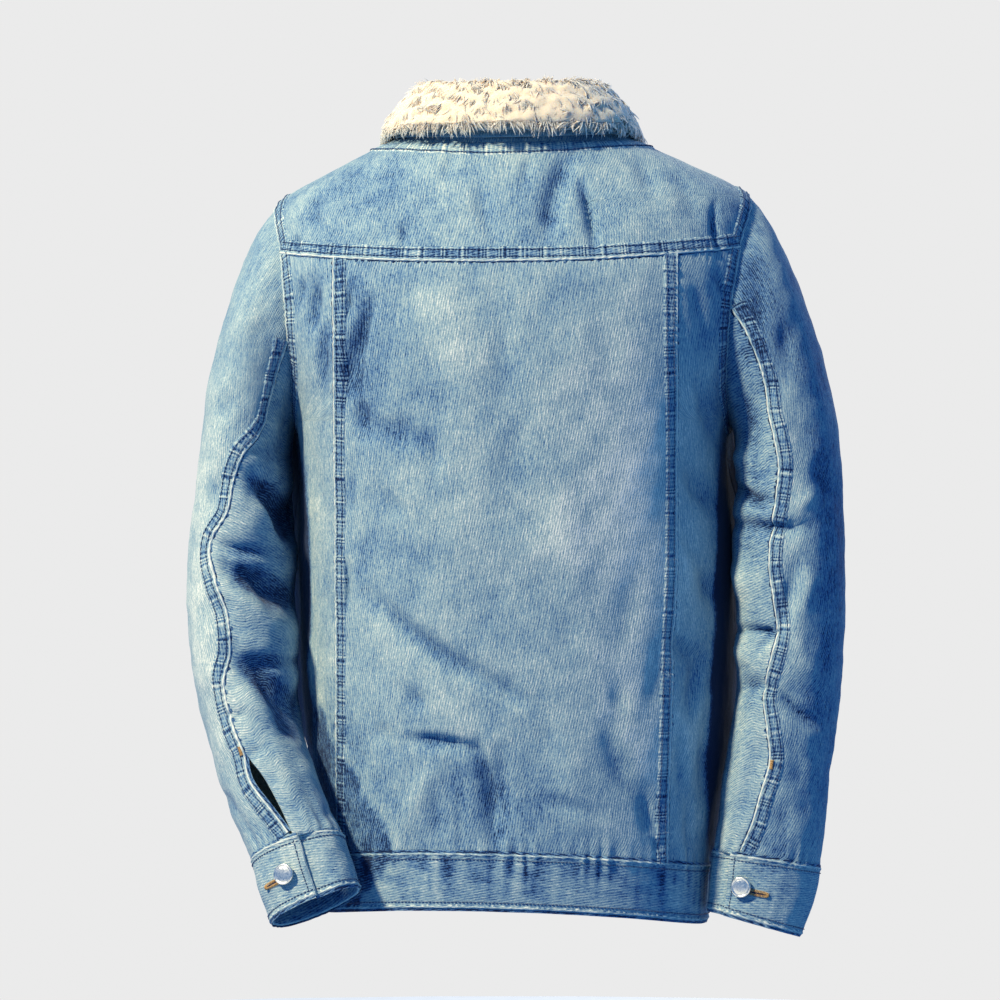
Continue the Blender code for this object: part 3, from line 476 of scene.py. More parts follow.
def body_wear_and_shade(u, v):
    """Lightness of the body: wear and painted shade; below nothing is darker."""
    p, n = body_ring(u, v), body_normal(u, v)
    fold, pucker = body_folds(v, p, n), body_puckers(u, v, p)
    x, z = p[..., 0], p[..., 2]
    tone = 0.16 * unevenness(p, 0.11, 21) + 0.13 * unevenness(p, 0.038, 22)
    # Hollows of the folds are darker and crests lighter: partly dye kept in the hollows, partly
    # painted shade and light.
    tone = tone + np.clip(fold / 0.0044, -1.2, 0.8) * 0.72
    tone = tone + np.clip(pucker / 0.0007, -1.6, 1.2) * 0.3
    # Painted shade: the body's sides, seen through the gaps beside the sleeves, are drawn near
    # black.
    drop = 0.009 * ease(-z, 0.29, 0.59)
    deep = np.where(x > 0, ease(x, 0.162, 0.168) * ease(z, -0.52, -0.46),
                    ease(-x, 0.170 - drop, 0.176 - drop) * ease(z, -0.605, -0.58))
    deep = deep * (1 - ease(z, -0.31, -0.24))
    behind = np.clip(deep + 1.6 * flank(p), 0, 1) * ease(p[..., 1], -0.105, -0.045)
    rim = np.interp(-z, *np.array(SLEEVE_SHADE).T / 1000)
    shade = ease(x + 0.004 * unevenness(p, 0.02, 23), rim - 0.002, rim + 0.004) * (n[..., 1] > 0)
    under = np.exp(-np.abs(v - V_BAND + 0.02) * 0.55 / 0.012) * (v < V_BAND)
    blocks = np.clip(-wobble(x + 0.5 * p[..., 1], 0.0125, 1), 0, 1)
    return (tone + washed(p, BODY_FADES_AND_PAINTED_LIGHT) - 1.3 * shade - 3.3 * behind - 1.8 * under * blocks
            - 0.35 * (v < V_BAND))


def seam_u(v, x):
    """How far round the body the back crosses a given x."""
    n = BODY.at("square", v)
    r = (x + BODY.at("sway", v)) / BODY.at("side_x", v)
    return np.arctan2(r, (1 - np.abs(r) ** n) ** (1 / n)) / (2 * math.pi)


def princess(v, side):
    """How far round the body the long back seam of one side runs."""
    if side == "left":
        return seam_u(v, PRINCESS_LEFT)
    return seam_u(v, -PRINCESS_RIGHT + PRINCESS_LEAN * (1 - ease(v, V_BAND, 0.6)))


def front_u(v, x):
    """How far round the body the front crosses a given x."""
    return 0.5 - seam_u(v, x)


def armhole(theta, side):
    """Where the armhole runs: theta is 0 at its foot, a quarter turn at the back."""
    u = side * (0.25 - ARM_U * np.sin(theta))
    return u, V_ARM + (V_SHOULDER - V_ARM) * (1 - np.cos(theta)) / 2


def side_u(v, face):
    """The outer edge of a panel: the side seam, then the armhole, then the shoulder seam."""
    return 0.25 - face * arm_half(v)


# ---------------------------------------------------------------- sleeve form
class Arm:
    """One sleeve and its cuff: theta goes round as at the armhole, s runs down to the wrist."""

    def __init__(self, side):
        self.side = side
        self.way = 1 if side == "left" else -1
        self.table = SLEEVE[side]

    def ring(self, theta, s):
        """The smooth sleeve without its joint to the armhole."""
        at = self.table.at
        inner = np.stack([self.way * at("in_x", s), at("in_z", s)], -1)
        outer = np.stack([self.way * at("out_x", s), at("out_z", s)], -1)
        sn, cs = np.sin(theta), np.cos(theta)
        m = (np.abs(sn) ** 2.2 + np.abs(cs) ** 2.2) ** (-1 / 2.2)
        flat = (inner + outer) / 2 - (outer - inner) / 2 * (cs * m)[..., None]
        swing = np.radians(at("swing", s))
        deep = at("deep", s) * sn * m
        return np.stack([flat[..., 0], at("mid_y", s) + deep * np.cos(swing),
                         flat[..., 1] + deep * np.sin(swing)], -1)

    def smooth(self, theta, s):
        """The smooth sleeve, its first ring on the armhole."""
        joint = body_ring(*armhole(theta, self.way)) - self.ring(theta, np.zeros_like(theta))
        return self.ring(theta, s) + joint * (1 - ease(s, 0, 2.5))[..., None]

    def normal(self, theta, s):
        """Outward normal of the smooth sleeve."""
        return -self.way * facing(self.smooth, theta, s)

    def folds(self, s, p, n):
        """Height of the sleeve's listed folds."""
        fade = ease(s, 0.4, 2.6) * (1 - 0.85 * ease(s, CUFF_AT - 1.2, CUFF_AT + 0.1))
        own = SLEEVE_GAIN * strokes(p, n, SLEEVE_FOLDS[self.side], -0.35, 0.15)
        own += creased(p, n, SLEEVE_CREASES[self.side]) * np.where(n[..., 1] > 0, 0.25, 1)
        return own * fade

    def puckers(self, theta, s, p):
        """Height of the small puckers along the sleeve's seams."""
        h = 0.0006 * unevenness(p, 0.045, 13) + 0.00025 * unevenness(p, 0.018, 14)
        d = (theta - np.radians(self.table.at("seam", s))) * 0.055
        h = h + 0.00045 * wobble(p[..., 2], 0.008, 4) * np.exp(-(d / 0.009) ** 2)
        d = (CUFF_AT - s) * 0.024
        h = h + 0.0012 * wobble(theta * 0.045, 0.013, 6) * np.exp(-(d / 0.014) ** 2) * (s < CUFF_AT)
        h = h + 0.0004 * wobble(theta * 0.045, 0.012, 8) * (s >= CUFF_AT)
        h = h + 0.0006 * wobble(p[..., 2], 0.011, 3) * np.exp(-(s / 0.5) ** 2) * np.sin(
            np.clip(s / 0.6, 0, 1) * math.pi / 2)
        return h * ease(s, 0.0, 0.5)

    def form(self, theta, s):
        """Points of the finished sleeve."""
        p, n = self.smooth(theta, s), self.normal(theta, s)
        top = theta, np.zeros_like(theta)
        joint = body(*armhole(theta, self.way)) - self.smooth(*top)
        h = self.folds(s, p, n) + self.puckers(theta, s, p)
        return p + joint * (1 - ease(s, 0, 1.5))[..., None] + n * h[..., None]

    def wear(self, theta, s):
        """Lightness of the sleeve: wash, and painted light and shade."""
        p, n = self.smooth(theta, s), self.normal(theta, s)
        fold, pucker = self.folds(s, p, n), self.puckers(theta, s, p)
        tone = 0.15 * unevenness(p, 0.09, 31) + 0.12 * unevenness(p, 0.035, 32)
        # Hollows of the folds are darker and crests lighter, partly dye kept in the hollows and
        # partly painted shade; the deepest hollows get extra painted shade.
        tone = tone + np.clip(fold / 0.0060, -1.2, 0.8) * 0.6 - 0.75 * ease(-fold, 0.004, 0.009)
        tone = tone + np.clip(pucker / 0.0008, -1.6, 1.2) * 0.3
        return tone + washed(p, SLEEVE_FADES_AND_PAINTED_LIGHT[self.side])


ARMS = {side: Arm(side) for side in ("left", "right")}


# ---------------------------------------------------------------- collar form
def collar(u, s):
    """The sheet between the two layers of the collar: s runs up the stand and down the leaf."""
    e = 1e-3
    top = np.ones_like(u)
    ring = body(u, top)
    along = body_ring(u + e, top) - body_ring(u - e, top)
    out = unit(np.stack([-along[..., 1], along[..., 0], 0 * u], -1))
    place = np.abs(u)
    lean, height = COLLAR.at("lean", place), COLLAR.at("height", place)
    edge_out, edge_up = COLLAR.at("edge_out", place), COLLAR.at("edge_up", place)
    drop_out, drop_up = lean + 2 * FOLD_RADIUS + 0.001, height - FOLD_RADIUS
    knots = np.array([0, 0.18, 0.36, 0.5, 0.64, 0.82, 1.0])
    r = [0 * lean, 0.42 * lean, lean, lean + FOLD_RADIUS, drop_out,
         (drop_out + edge_out) / 2 + 0.002, edge_out]
    h = [0 * height, 0.45 * (height - FOLD_RADIUS), height - FOLD_RADIUS, height, drop_up,
         (drop_up + edge_up) / 2 + 0.001, edge_up]
    profile_r, profile_h = between(knots, r, s), between(knots, h, s)
    return ring + out * profile_r[..., None] + np.array([0, 0, 1.0]) * profile_h[..., None]


def between(knots, values, at):
    """A smooth curve through arrays of values at shared knots."""
    values = np.stack([np.broadcast_to(v, at.shape) for v in values])
    slopes = np.gradient(values, knots, axis=0)
    i = np.clip(np.searchsorted(knots, at, side="right") - 1, 0, len(knots) - 2)
    span = knots[i + 1] - knots[i]

    def pick(table, j):
        return np.take_along_axis(table, j[None], 0)[0]

    return hermite((at - knots[i]) / span, pick(values, i), pick(values, i + 1),
                   span * pick(slopes, i), span * pick(slopes, i + 1))


def collar_side(u, s):
    """Normal of the collar's sheet, towards the sherpa."""
    return -facing(collar, u, s)


# ---------------------------------------------------------------- making meshes
SHARP = math.radians(60)
DENIM_SLOT, INSIDE_SLOT, NAVY_SLOT, TAN_SLOT = range(4)   # the materials of a piece of cloth


def faced(verts, quads, way):
    """Quads turned so that they face the given way."""
    a, b, c, d = (verts[quads[:, k]] for k in range(4))
    away = (np.cross(c - a, d - b) * way).sum(-1) < 0
    return np.where(away[:, None], quads[:, ::-1], quads)


def lattice(rows, cols):
    """The quads of a grid of points."""
    i = np.arange(rows * cols).reshape(rows, cols)
    return np.stack([i[:-1, :-1], i[:-1, 1:], i[1:, 1:], i[1:, :-1]], -1).reshape(-1, 4)


def run_lengths(points, axis):
    """Distance along one axis of a grid of points, from the axis' middle."""
    step = np.linalg.norm(np.diff(points, axis=axis), axis=-1)
    total = np.concatenate([np.zeros_like(np.take(step, [0], axis)), np.cumsum(step, axis)], axis)
    return total - np.take(total, [total.shape[axis] // 2], axis)


def grain_of(points, across=False):
    """Grain coordinates in metres for a grid whose rows run up the cloth."""
    g = np.stack([run_lengths(points, 1), run_lengths(points, 0)], -1)
    g = g[..., ::-1] if across else g
    return g + DICE.uniform(0, 3, 2)


def shell(outer, inner, wear, edge, across=False, inside=INSIDE_SLOT):
    """A thin closed shell between two grids, with a rounded rim that is worn pale."""
    rows, cols = outer.shape[:2]
    i = np.arange(rows * cols).reshape(rows, cols)
    loop = np.concatenate([i[0, :-1], i[:-1, -1], i[-1, :0:-1], i[:0:-1, 0]])
    near = np.clip(loop // cols, 1, rows - 2) * cols + np.clip(loop % cols, 1, cols - 2)
    flat_out, flat_in = outer.reshape(-1, 3), inner.reshape(-1, 3)
    away = unit(flat_out[loop] - flat_out[near])
    deep = np.linalg.norm(flat_out[loop] - flat_in[loop], axis=-1, keepdims=True)
    middle = (flat_out[loop] + flat_in[loop]) / 2 + away * 0.3 * deep
    verts = np.concatenate([flat_out, flat_in, middle])
    count, turn = rows * cols, len(loop)
    k = np.arange(turn)
    mid, mid_next = 2 * count + k, 2 * count + (k + 1) % turn
    on, on_next = loop, np.roll(loop, -1)
    rim = np.concatenate([np.stack([on, on_next, mid_next, mid], -1),
                          np.stack([mid, mid_next, on_next + count, on + count], -1)])
    quads = lattice(rows, cols)
    way = flat_out - flat_in
    faces = np.concatenate([faced(verts, quads, way[quads[:, 0]]),
                            faced(verts, quads + count, -way[quads[:, 0]]),
                            faced(verts, rim, np.concatenate([away, away]))])
    grain = grain_of(outer, across).reshape(-1, 2)
    tone = wear.reshape(-1)
    slots = np.repeat([DENIM_SLOT, inside, DENIM_SLOT], [len(quads), len(quads), len(rim)])
    return (verts, faces, np.concatenate([grain, grain, grain[loop] + 0.002]),
            np.concatenate([tone, tone, tone[loop] + edge]), slots)


def strip(points, wear, way):
    """An open strip of denim that lies on a piece, its edges let into it."""
    quads = lattice(*points.shape[:2])
    verts = points.reshape(-1, 3)
    return (verts, faced(verts, quads, way.reshape(-1, 3)[quads[:, 0]]),
            grain_of(points).reshape(-1, 2), wear.reshape(-1), np.full(len(quads), DENIM_SLOT))


def tubes(paths, radii, up, slot, sides=4, tone=0.0):
    """A bundle of thin tubes along paths of shape (N, K, 3)."""
    count, knots = paths.shape[:2]
    way = unit(np.gradient(paths, axis=1))
    across = unit(np.cross(way, up[:, None]))
    lift = np.cross(across, way)
    turn = np.arange(sides) * 2 * math.pi / sides
    ring = (across[:, :, None] * np.cos(turn)[:, None] + lift[:, :, None] * np.sin(turn)[:, None])
    verts = paths[:, :, None] + ring * radii[:, :, None, None]
    i = np.arange(count * knots * sides).reshape(count, knots, sides)
    j = np.roll(i, -1, axis=2)
    quads = np.stack([i[:, :-1], j[:, :-1], j[:, 1:], i[:, 1:]], -1).reshape(-1, 4)
    verts = verts.reshape(-1, 3)
    quads = faced(verts, quads, ring.reshape(-1, 3)[quads[:, 0]])
    along = run_lengths(paths, 1)
    grain = np.stack([np.broadcast_to(turn / 6.3 * 0.002, i.shape),
                      np.broadcast_to(along[..., None], i.shape)], -1)
    grain = grain + DICE.uniform(0, 1, (count, 1, 1, 2))
    wear = np.broadcast_to(np.broadcast_to(tone, (count,))[:, None, None], i.shape)
    return verts, quads, grain.reshape(-1, 2), wear.reshape(-1), np.full(len(quads), slot)


def placed(name, data):
    """A new object in the scene."""
    made = bpy.data.objects.new(name, data)
    bpy.context.scene.collection.objects.link(made)
    return made


def turned(made, turn):
    """Sets an object's rotation."""
    made.rotation_mode = "QUATERNION"
    made.rotation_quaternion = turn


def piece(name, parts, materials, replaced=()):
    """Joins parts into one mesh object that rides on the row's body."""
    starts = np.cumsum([0] + [len(p[0]) for p in parts])
    verts = np.concatenate([p[0] for p in parts])
    quads = np.concatenate([p[1] + s for p, s in zip(parts, starts)])
    grain, wear = (np.concatenate([p[k] for p in parts]) for k in (2, 3))
    slots = np.concatenate([p[4] for p in parts])
    mesh = bpy.data.meshes.new(name)
    mesh.vertices.add(len(verts))
    mesh.vertices.foreach_set("co", verts.astype(np.float32).ravel())
    mesh.loops.add(quads.size)
    mesh.loops.foreach_set("vertex_index", quads.astype(np.int32).ravel())
    mesh.polygons.add(len(quads))
    mesh.polygons.foreach_set("loop_start", np.arange(0, quads.size, 4, dtype=np.int32))
    for made in materials:
        mesh.materials.append(made)
    mesh.polygons.foreach_set("material_index", slots.astype(np.int32))
    mesh.update(calc_edges=True)
    layer = mesh.uv_layers.new(name="grain")
    layer.data.foreach_set("uv", grain[quads.ravel()].astype(np.float32).ravel())
    mesh.attributes.new("wear", "FLOAT", "POINT").data.foreach_set("value", wear.astype(np.float32))
    mesh.shade_smooth()
    mesh.set_sharp_from_angle(angle=SHARP)
    made = placed(name, mesh)
    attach(made, "root")
    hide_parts(*replaced)
    return made


# ---------------------------------------------------------------- seams and stitches
# What a cloth is made of: its finished and smooth points, outward normal and wash with painted
# shade, each a function of its two parameters.
Cloth = namedtuple("Cloth", "form normal smooth wear")
JACKET = Cloth(body, body_normal, body_ring, body_wear_and_shade)

# In the wear column the dark lip just beside the seam is painted shadow; the pale ridge is worn.
FELLED = np.array([  # across the seam in mm, height in mm, wear
    (-3.0, -0.25, -0.6), (-1.5, 0.0, -1.8), (-0.7, 0.15, -1.6), (-0.25, 0.95, 1.4),
    (0.4, 1.3, 2.1), (1.0, 1.1, 0.3), (3.2, 0.8, -0.8), (6.0, 1.05, -0.5), (9.2, 0.8, -0.8),
    (10.6, 0.9, 0.1), (11.4, 0.4, -0.5), (12.4, -0.3, -0.7)])
# Here too the dark lip beside the turned edge is painted shadow, and the pale ridge is worn.
EDGE = np.array([  # the seam where a band's turned edge lies on the panel
    (-3.0, -0.25, -0.5), (-1.5, 0.0, -1.5), (-0.6, 0.1, -1.2), (-0.1, 0.7, 0.9),
    (0.6, 0.95, 1.3), (1.5, 0.5, 0.2), (3.0, -0.2, -0.1)])
NECK = np.array([  # the band under the collar
    (-1.0, -0.2, -0.8), (0.0, 0.35, -0.6), (2.5, 0.75, -0.2), (5.0, 0.7, 0.2), (8.0, 0.75, 0.3),
    (10.3, 0.45, -0.9), (11.2, 0.5, 0.3), (12.4, 0.3, 0.8), (13.4, -0.3, -0.5)])


def beside(form, a, b, off):
    """Parameters of points set off sideways from a path along a form, by real distances."""
    e = 1e-4
    pa = (form(a + e, b) - form(a - e, b)) / (2 * e)
    pb = (form(a, b + e) - form(a, b - e)) / (2 * e)
    side = unit(np.cross(np.cross(pa, pb), np.gradient(form(a, b), axis=0)))
    aa, ab, bb = (pa * pa).sum(-1), (pa * pb).sum(-1), (pb * pb).sum(-1)
    ra, rb = (pa * side).sum(-1), (pb * side).sum(-1)
    det = aa * bb - ab * ab
    da, db = (ra * bb - rb * ab) / det, (rb * aa - ra * ab) / det
    return a[:, None] + off * da[:, None], b[:, None] + off * db[:, None]


def spaced(form, a, b, step):
    """A path's parameters at even real distances."""
    long = np.concatenate([[0], np.cumsum(np.linalg.norm(np.diff(form(a, b), axis=0), axis=-1))])
    at = np.linspace(0, long[-1], max(3, round(long[-1] / step) + 1))
    return np.interp(at, long, a), np.interp(at, long, b), at


def toward_sign(form, a, b, toward):
    """Which side of a path lies towards a given direction, half way along it."""
    pa, pb = beside(form, a, b, np.array([0.002]))
    m = len(a) // 2
    move = form(pa[m], pb[m])[0] - form(a[m:m + 1], b[m:m + 1])[0]
    return 1 if move @ np.array(toward) > 0 else -1


def seam(cloth, a, b, way, profile, rise, pitch, seed):
    """A raised seam along a path, on the side named by way, puckered across."""
    a, b, along = spaced(cloth.smooth, a, b, SEAM_STEP)
    off = profile[:, 0] / 1000
    pa, pb = beside(cloth.smooth, a, b, way * off)
    n = cloth.normal(pa, pb)
    bars = wobble(along, pitch, seed)[:, None]
    inner = ((off > 0.0005) & (off < 0.0125))[None]
    high = profile[:, 1] / 1000 + rise + inner * 0.0003 * bars
    points = cloth.form(pa, pb) + n * high[..., None]
    wear = (profile[:, 2] + inner * 1.5 * bars * (off > 0.0012)
            + 0.3 * unevenness(points, 0.03, seed + 50) + cloth.wear(pa, pb) * 0.6)
    return strip(points, wear, n)


def sewn(cloth, a, b, off, rise):
    """A row of stitches along a path, off to its side by a real distance."""
    pa, pb, _ = spaced(cloth.smooth, a, b, STITCH / 4)
    pa, pb = (q[:, 0] for q in beside(cloth.smooth, pa, pb, np.array([off])))
    n = cloth.normal(pa, pb)
    line = cloth.form(pa, pb) + n * rise
    first = np.arange(0, len(line) - 4, 4)
    k = first[:, None] + np.arange(4)
    lift = np.array([-0.35, 0.32, 0.32, -0.35]) / 1000
    return tubes(line[k] + n[k] * lift[:, None], np.full(k.shape, STITCH_RADIUS), n[first],
                 NAVY_SLOT, tone=0.4 * DICE.normal(size=len(first)))


def felled(cloth, a, b, toward, profile, seed, rows=FELLED_ROWS, pitch=0.0031):
    """A felled seam with its rows of stitches, lying to one side of a path."""
    way = toward_sign(cloth.smooth, a, b, toward)
    return [seam(cloth, a, b, way, profile, 0.0, pitch, seed),
            *(sewn(cloth, a, b, way * off, ON_SEAM) for off in rows)]


def turned_edge(cloth, a, b, toward, off, pitch, seed):
    """The seam along a band's turned edge, with its one row of stitches."""
    way = toward_sign(cloth.smooth, a, b, toward)
    return [seam(cloth, a, b, way, EDGE, -0.0002, pitch, seed),
            sewn(cloth, a, b, way * off, 0.0002)]


# ---------------------------------------------------------------- materials
class Graph:
    """A node material and the means to build it."""

    def __init__(self, name):
        self.made = bpy.data.materials.new(name)
        self.made.use_nodes = True
        self.tree = self.made.node_tree
        self.shader = self.tree.nodes["Principled BSDF"]

    def add(self, kind, values=None, **props):
        """A node with its inputs, each a constant or a socket, and its settings."""
        node = self.tree.nodes.new(kind)
        for key, value in props.items():
            setattr(node, key, value)
        for key, value in (values or {}).items():
            if isinstance(value, bpy.types.NodeSocket):
                self.tree.links.new(value, node.inputs[key])
            else:
                node.inputs[key].default_value = value
        return node

    def place(self):
        """Where a point lies on its own object."""
        return self.add("ShaderNodeTexCoord").outputs["Object"]

    def grain(self):
        """Where a point lies on its cloth, in metres across and along the grain."""
        return self.add("ShaderNodeUVMap", uv_map="grain").outputs["UV"]

    def worn(self, factor, base):
        """The painted wear and painted shade, scaled, over a base value."""
        wear = self.add("ShaderNodeAttribute", attribute_name="wear").outputs["Fac"]
        return self.sums(base, (wear, factor))

    def noise(self, place, scale, detail):
        """Fractal noise at a place."""
        values = {"Vector": place, "Scale": scale, "Detail": detail}
        return self.add("ShaderNodeTexNoise", values).outputs["Fac"]

    def sums(self, total, *steps):
        """A chain of scaled sums: each step is a socket and its factor."""
        for value, factor in steps:
            total = self.add("ShaderNodeMath", {0: value, 1: factor, 2: total},
                             operation="MULTIPLY_ADD").outputs[0]
        return total

    def colour(self, fac, stops):
        """Colours the surface along a ramp."""
        node = self.add("ShaderNodeValToRGB", {"Fac": fac})
        while len(node.color_ramp.elements) < len(stops):
            node.color_ramp.elements.new(0.5)
        for element, (at, shade) in zip(node.color_ramp.elements, stops):
            element.position, element.color = at, (*shade, 1)
        self.tree.links.new(node.outputs["Color"], self.shader.inputs["Base Color"])

    def bump(self, height, strength, distance):
        """Lets a height stand out of the surface."""
        node = self.add("ShaderNodeBump",
                        {"Height": height, "Strength": strength, "Distance": distance})
        self.tree.links.new(node.outputs["Normal"], self.shader.inputs["Normal"])

    def surface(self, values):
        """Sets the shader's constants and returns the finished material."""
        for key, value in values.items():
            self.shader.inputs[key].default_value = value
        return self.made


def denim(name, lift=0.0):
    """Stone-washed twill: streaks along the grain over the painted wear and painted shade."""
    graph = Graph(name)
    grain = graph.grain()

    def noise(across, along, detail):
        at = graph.add("ShaderNodeMapping", {"Vector": grain, "Scale": (1 / across, 1 / along, 1)})
        return graph.add("ShaderNodeTexNoise", {"Vector": at.outputs[0], "Scale": 1,
                                                "Detail": detail, "Roughness": 0.6},
                         noise_dimensions="2D").outputs["Fac"]

    slub, fine, speck = noise(0.0022, 0.016, 3), noise(0.0010, 0.004, 2), noise(0.0015, 0.0015, 2)
    cloud = noise(0.016, 0.022, 2)
    slope = graph.add("ShaderNodeMapping", {"Vector": grain, "Scale": (1, 1, 1),
                                            "Rotation": (0, 0, math.radians(-12))})
    twill = graph.add("ShaderNodeTexWave", {"Vector": slope.outputs[0], "Scale": 0.5 / 0.0034,
                                            "Distortion": 0.8, "Detail": 1.0,
                                            "Detail Scale": 900},
                      bands_direction="X").outputs["Fac"]
    parts = (slub, 0.55), (fine, 0.7), (speck, 0.45), (cloud, 0.25), (twill, 0.22)
    middle = 0.5 + lift - sum(factor for _, factor in parts) / 2
    # The ramp's darkest stops colour the painted shade.
    graph.colour(graph.sums(graph.worn(0.27, middle), *parts), [
        (0.0, (0.004, 0.016, 0.06)), (0.13, (0.022, 0.068, 0.19)), (0.26, (0.078, 0.172, 0.325)),
        (0.5, (0.23, 0.347, 0.42)), (0.74, (0.405, 0.495, 0.50)), (1.0, (0.77, 0.77, 0.70))])
    graph.bump(graph.sums(fine, (slub, 0.8), (twill, 0.35), (speck, 0.5)), 0.55, 0.0006)
    return graph.surface({"Roughness": 0.88, "Specular IOR Level": 0.15, "Sheen Weight": 0.08,
                          "Sheen Roughness": 0.5})


def fleece(name, pale, shade, depth=0.0):
    """Curled cream pile, or the brushed cloth that it is knitted into; depth lets light into it."""
    graph = Graph(name)
    place = graph.place()
    fine, broad = graph.noise(place, 900, 2), graph.noise(place, 70, 2)
    tone = graph.sums(graph.worn(0.28, 0.55 - 0.65), (fine, 0.6), (broad, 0.7))
    graph.colour(tone, [(0.1, shade), (0.75, pale)])
    graph.bump(fine, 0.6, 0.0006)
    return graph.surface({"Subsurface Weight": depth, "Subsurface Radius": (1.0, 0.85, 0.65),
                          "Subsurface Scale": 0.006, "Roughness": 0.95,
                          "Specular IOR Level": 0.1, "Sheen Weight": 0.25})


def thread(name, dark, light):
    """Twisted sewing thread."""
    graph = Graph(name)
    ply = graph.add("ShaderNodeTexWave",
                    {"Vector": graph.grain(), "Scale": 450, "Distortion": 0.5},
                    bands_direction="DIAGONAL").outputs["Fac"]
    graph.colour(graph.sums(graph.worn(0.3, 0.3), (ply, 0.4)), [(0.1, dark), (0.9, light)])
    return graph.surface({"Roughness": 0.7})


def nickel(name):
    """Bright nickel, softly scuffed."""
    graph = Graph(name)
    scuff = graph.noise(graph.place(), 600, 4)
    graph.colour(scuff, [(0.3, (0.62, 0.61, 0.58)), (0.7, (0.83, 0.82, 0.79))])
    rough = graph.add("ShaderNodeMapRange", {"Value": scuff, "To Min": 0.18, "To Max": 0.42})
    graph.tree.links.new(rough.outputs[0], graph.shader.inputs["Roughness"])
    graph.bump(scuff, 0.2, 0.0002)
    return graph.surface({"Metallic": 1.0})


DENIM, LINING, NAVY, TAN, PILE, NICKEL = (
    denim("denim_washed"),
    fleece("lining_fleece", (0.72, 0.63, 0.48), (0.42, 0.35, 0.26)),
    thread("thread_navy", (0.012, 0.03, 0.10), (0.05, 0.10, 0.22)),
    thread("thread_tan", (0.35, 0.17, 0.05), (0.66, 0.42, 0.18)),
    fleece("sherpa_pile", (0.84, 0.69, 0.52), (0.77, 0.62, 0.47), 0.85),
    nickel("button_nickel"))
CLOTH = [DENIM, LINING, NAVY, TAN]
# Painted shade: the inside of the cuffs is drawn darker than the face, as if in shadow.
SHADED_INSIDE_DENIM = denim("denim_inside_painted_shade", lift=-0.2)


def sewn_cloth(name, outer, inner, wear, seams, hangs_from, inside=LINING, held="hung", **look):
    """One sheet of cloth in place of its solid, and the sewing on it; its cut is worked out as
    well.
    """
    made = piece(name, [shell(outer, inner, wear, **look)], [DENIM, inside, NAVY, TAN],
                 replaced=[name])
    sewing = [piece(name + "_sewing", seams, CLOTH)] if seams else []
    flat, area = cut_of(outer)


def cut_of(outer):
    """Width, length and area of a grid of points laid flat, in whole millimetres."""
    wide = np.linalg.norm(np.diff(outer, axis=1), axis=-1).sum(1).max()
    tall = np.linalg.norm(np.diff(outer, axis=0), axis=-1).sum(0).max()
    a, b = outer[1:, :-1] - outer[:-1, :-1], outer[:-1, 1:] - outer[:-1, :-1]
    area = np.linalg.norm(np.cross(a, b), axis=-1).sum()
    return (round(wide, 3), round(tall, 3)), min(round(area, 4), round(wide, 3) * round(tall, 3))


# ---------------------------------------------------------------- body pieces
def levels(low, high, cell):
    """Rows of the body between two levels, those of the armhole shared with the sleeve."""
    below, beside_arm, above = 0.37, 0.24, 0.07      # metres of cloth in each stretch
    turn = ARM_STEPS * round(beside_arm / cell / ARM_STEPS + 0.5)
    arm = V_ARM + (V_SHOULDER - V_ARM) * (1 - np.cos(np.linspace(0, math.pi, turn + 1))) / 2
    rows = np.concatenate([np.linspace(V_BAND, V_ARM, round(below / cell)), arm[1:],
                           np.linspace(V_SHOULDER, 1, round(above / cell))[1:]])
    return rows[(rows > low - 1e-6) & (rows < high + 1e-6)]


def body_piece(name, low, high, left, right, cell, seams, rise=0.0, thick=BODY_WALL, edge=0.2):
    """A panel of the body between two levels and two edges given as functions of the level."""
    rows = levels(low, high, cell)
    cols = max(4, round(girth(body_ring, (left(rows) + right(rows)) / 2, rows).mean()
                        * np.abs(right(rows) - left(rows)).max() / cell))
    share = np.linspace(0, 1, cols + 1)
    u = left(rows)[:, None] * (1 - share) + right(rows)[:, None] * share
    v = np.broadcast_to(rows[:, None], u.shape)
    n = body_normal(u, v)
    outer = body(u, v) + n * rise
    sewn_cloth(name, outer, outer - n * thick, body_wear_and_shade(u, v), seams,
               [] if name == "back_yoke" else ["back_yoke"], edge=edge)


def arm_seam(side, start, end, seed):
    """The felled seam on the body round part of an armhole."""
    way = 1 if side == "left" else -1
    turn = np.radians(np.linspace(start, end, 90))
    u, v = armhole(turn, way)
    middle = turn[len(turn) // 2]
    toward = (-way * abs(math.sin(middle)) - 0.001 * way, 0, -math.cos(middle) * 0.5)
    return felled(JACKET, u, v, toward, FELLED, seed)


def neck_seam(u, seed):
    """The band under the collar on part of the neck."""
    return felled(JACKET, u, np.full_like(u, V_NECK_SEAM), (0, 0, -1), NECK, seed, NECK_ROWS)


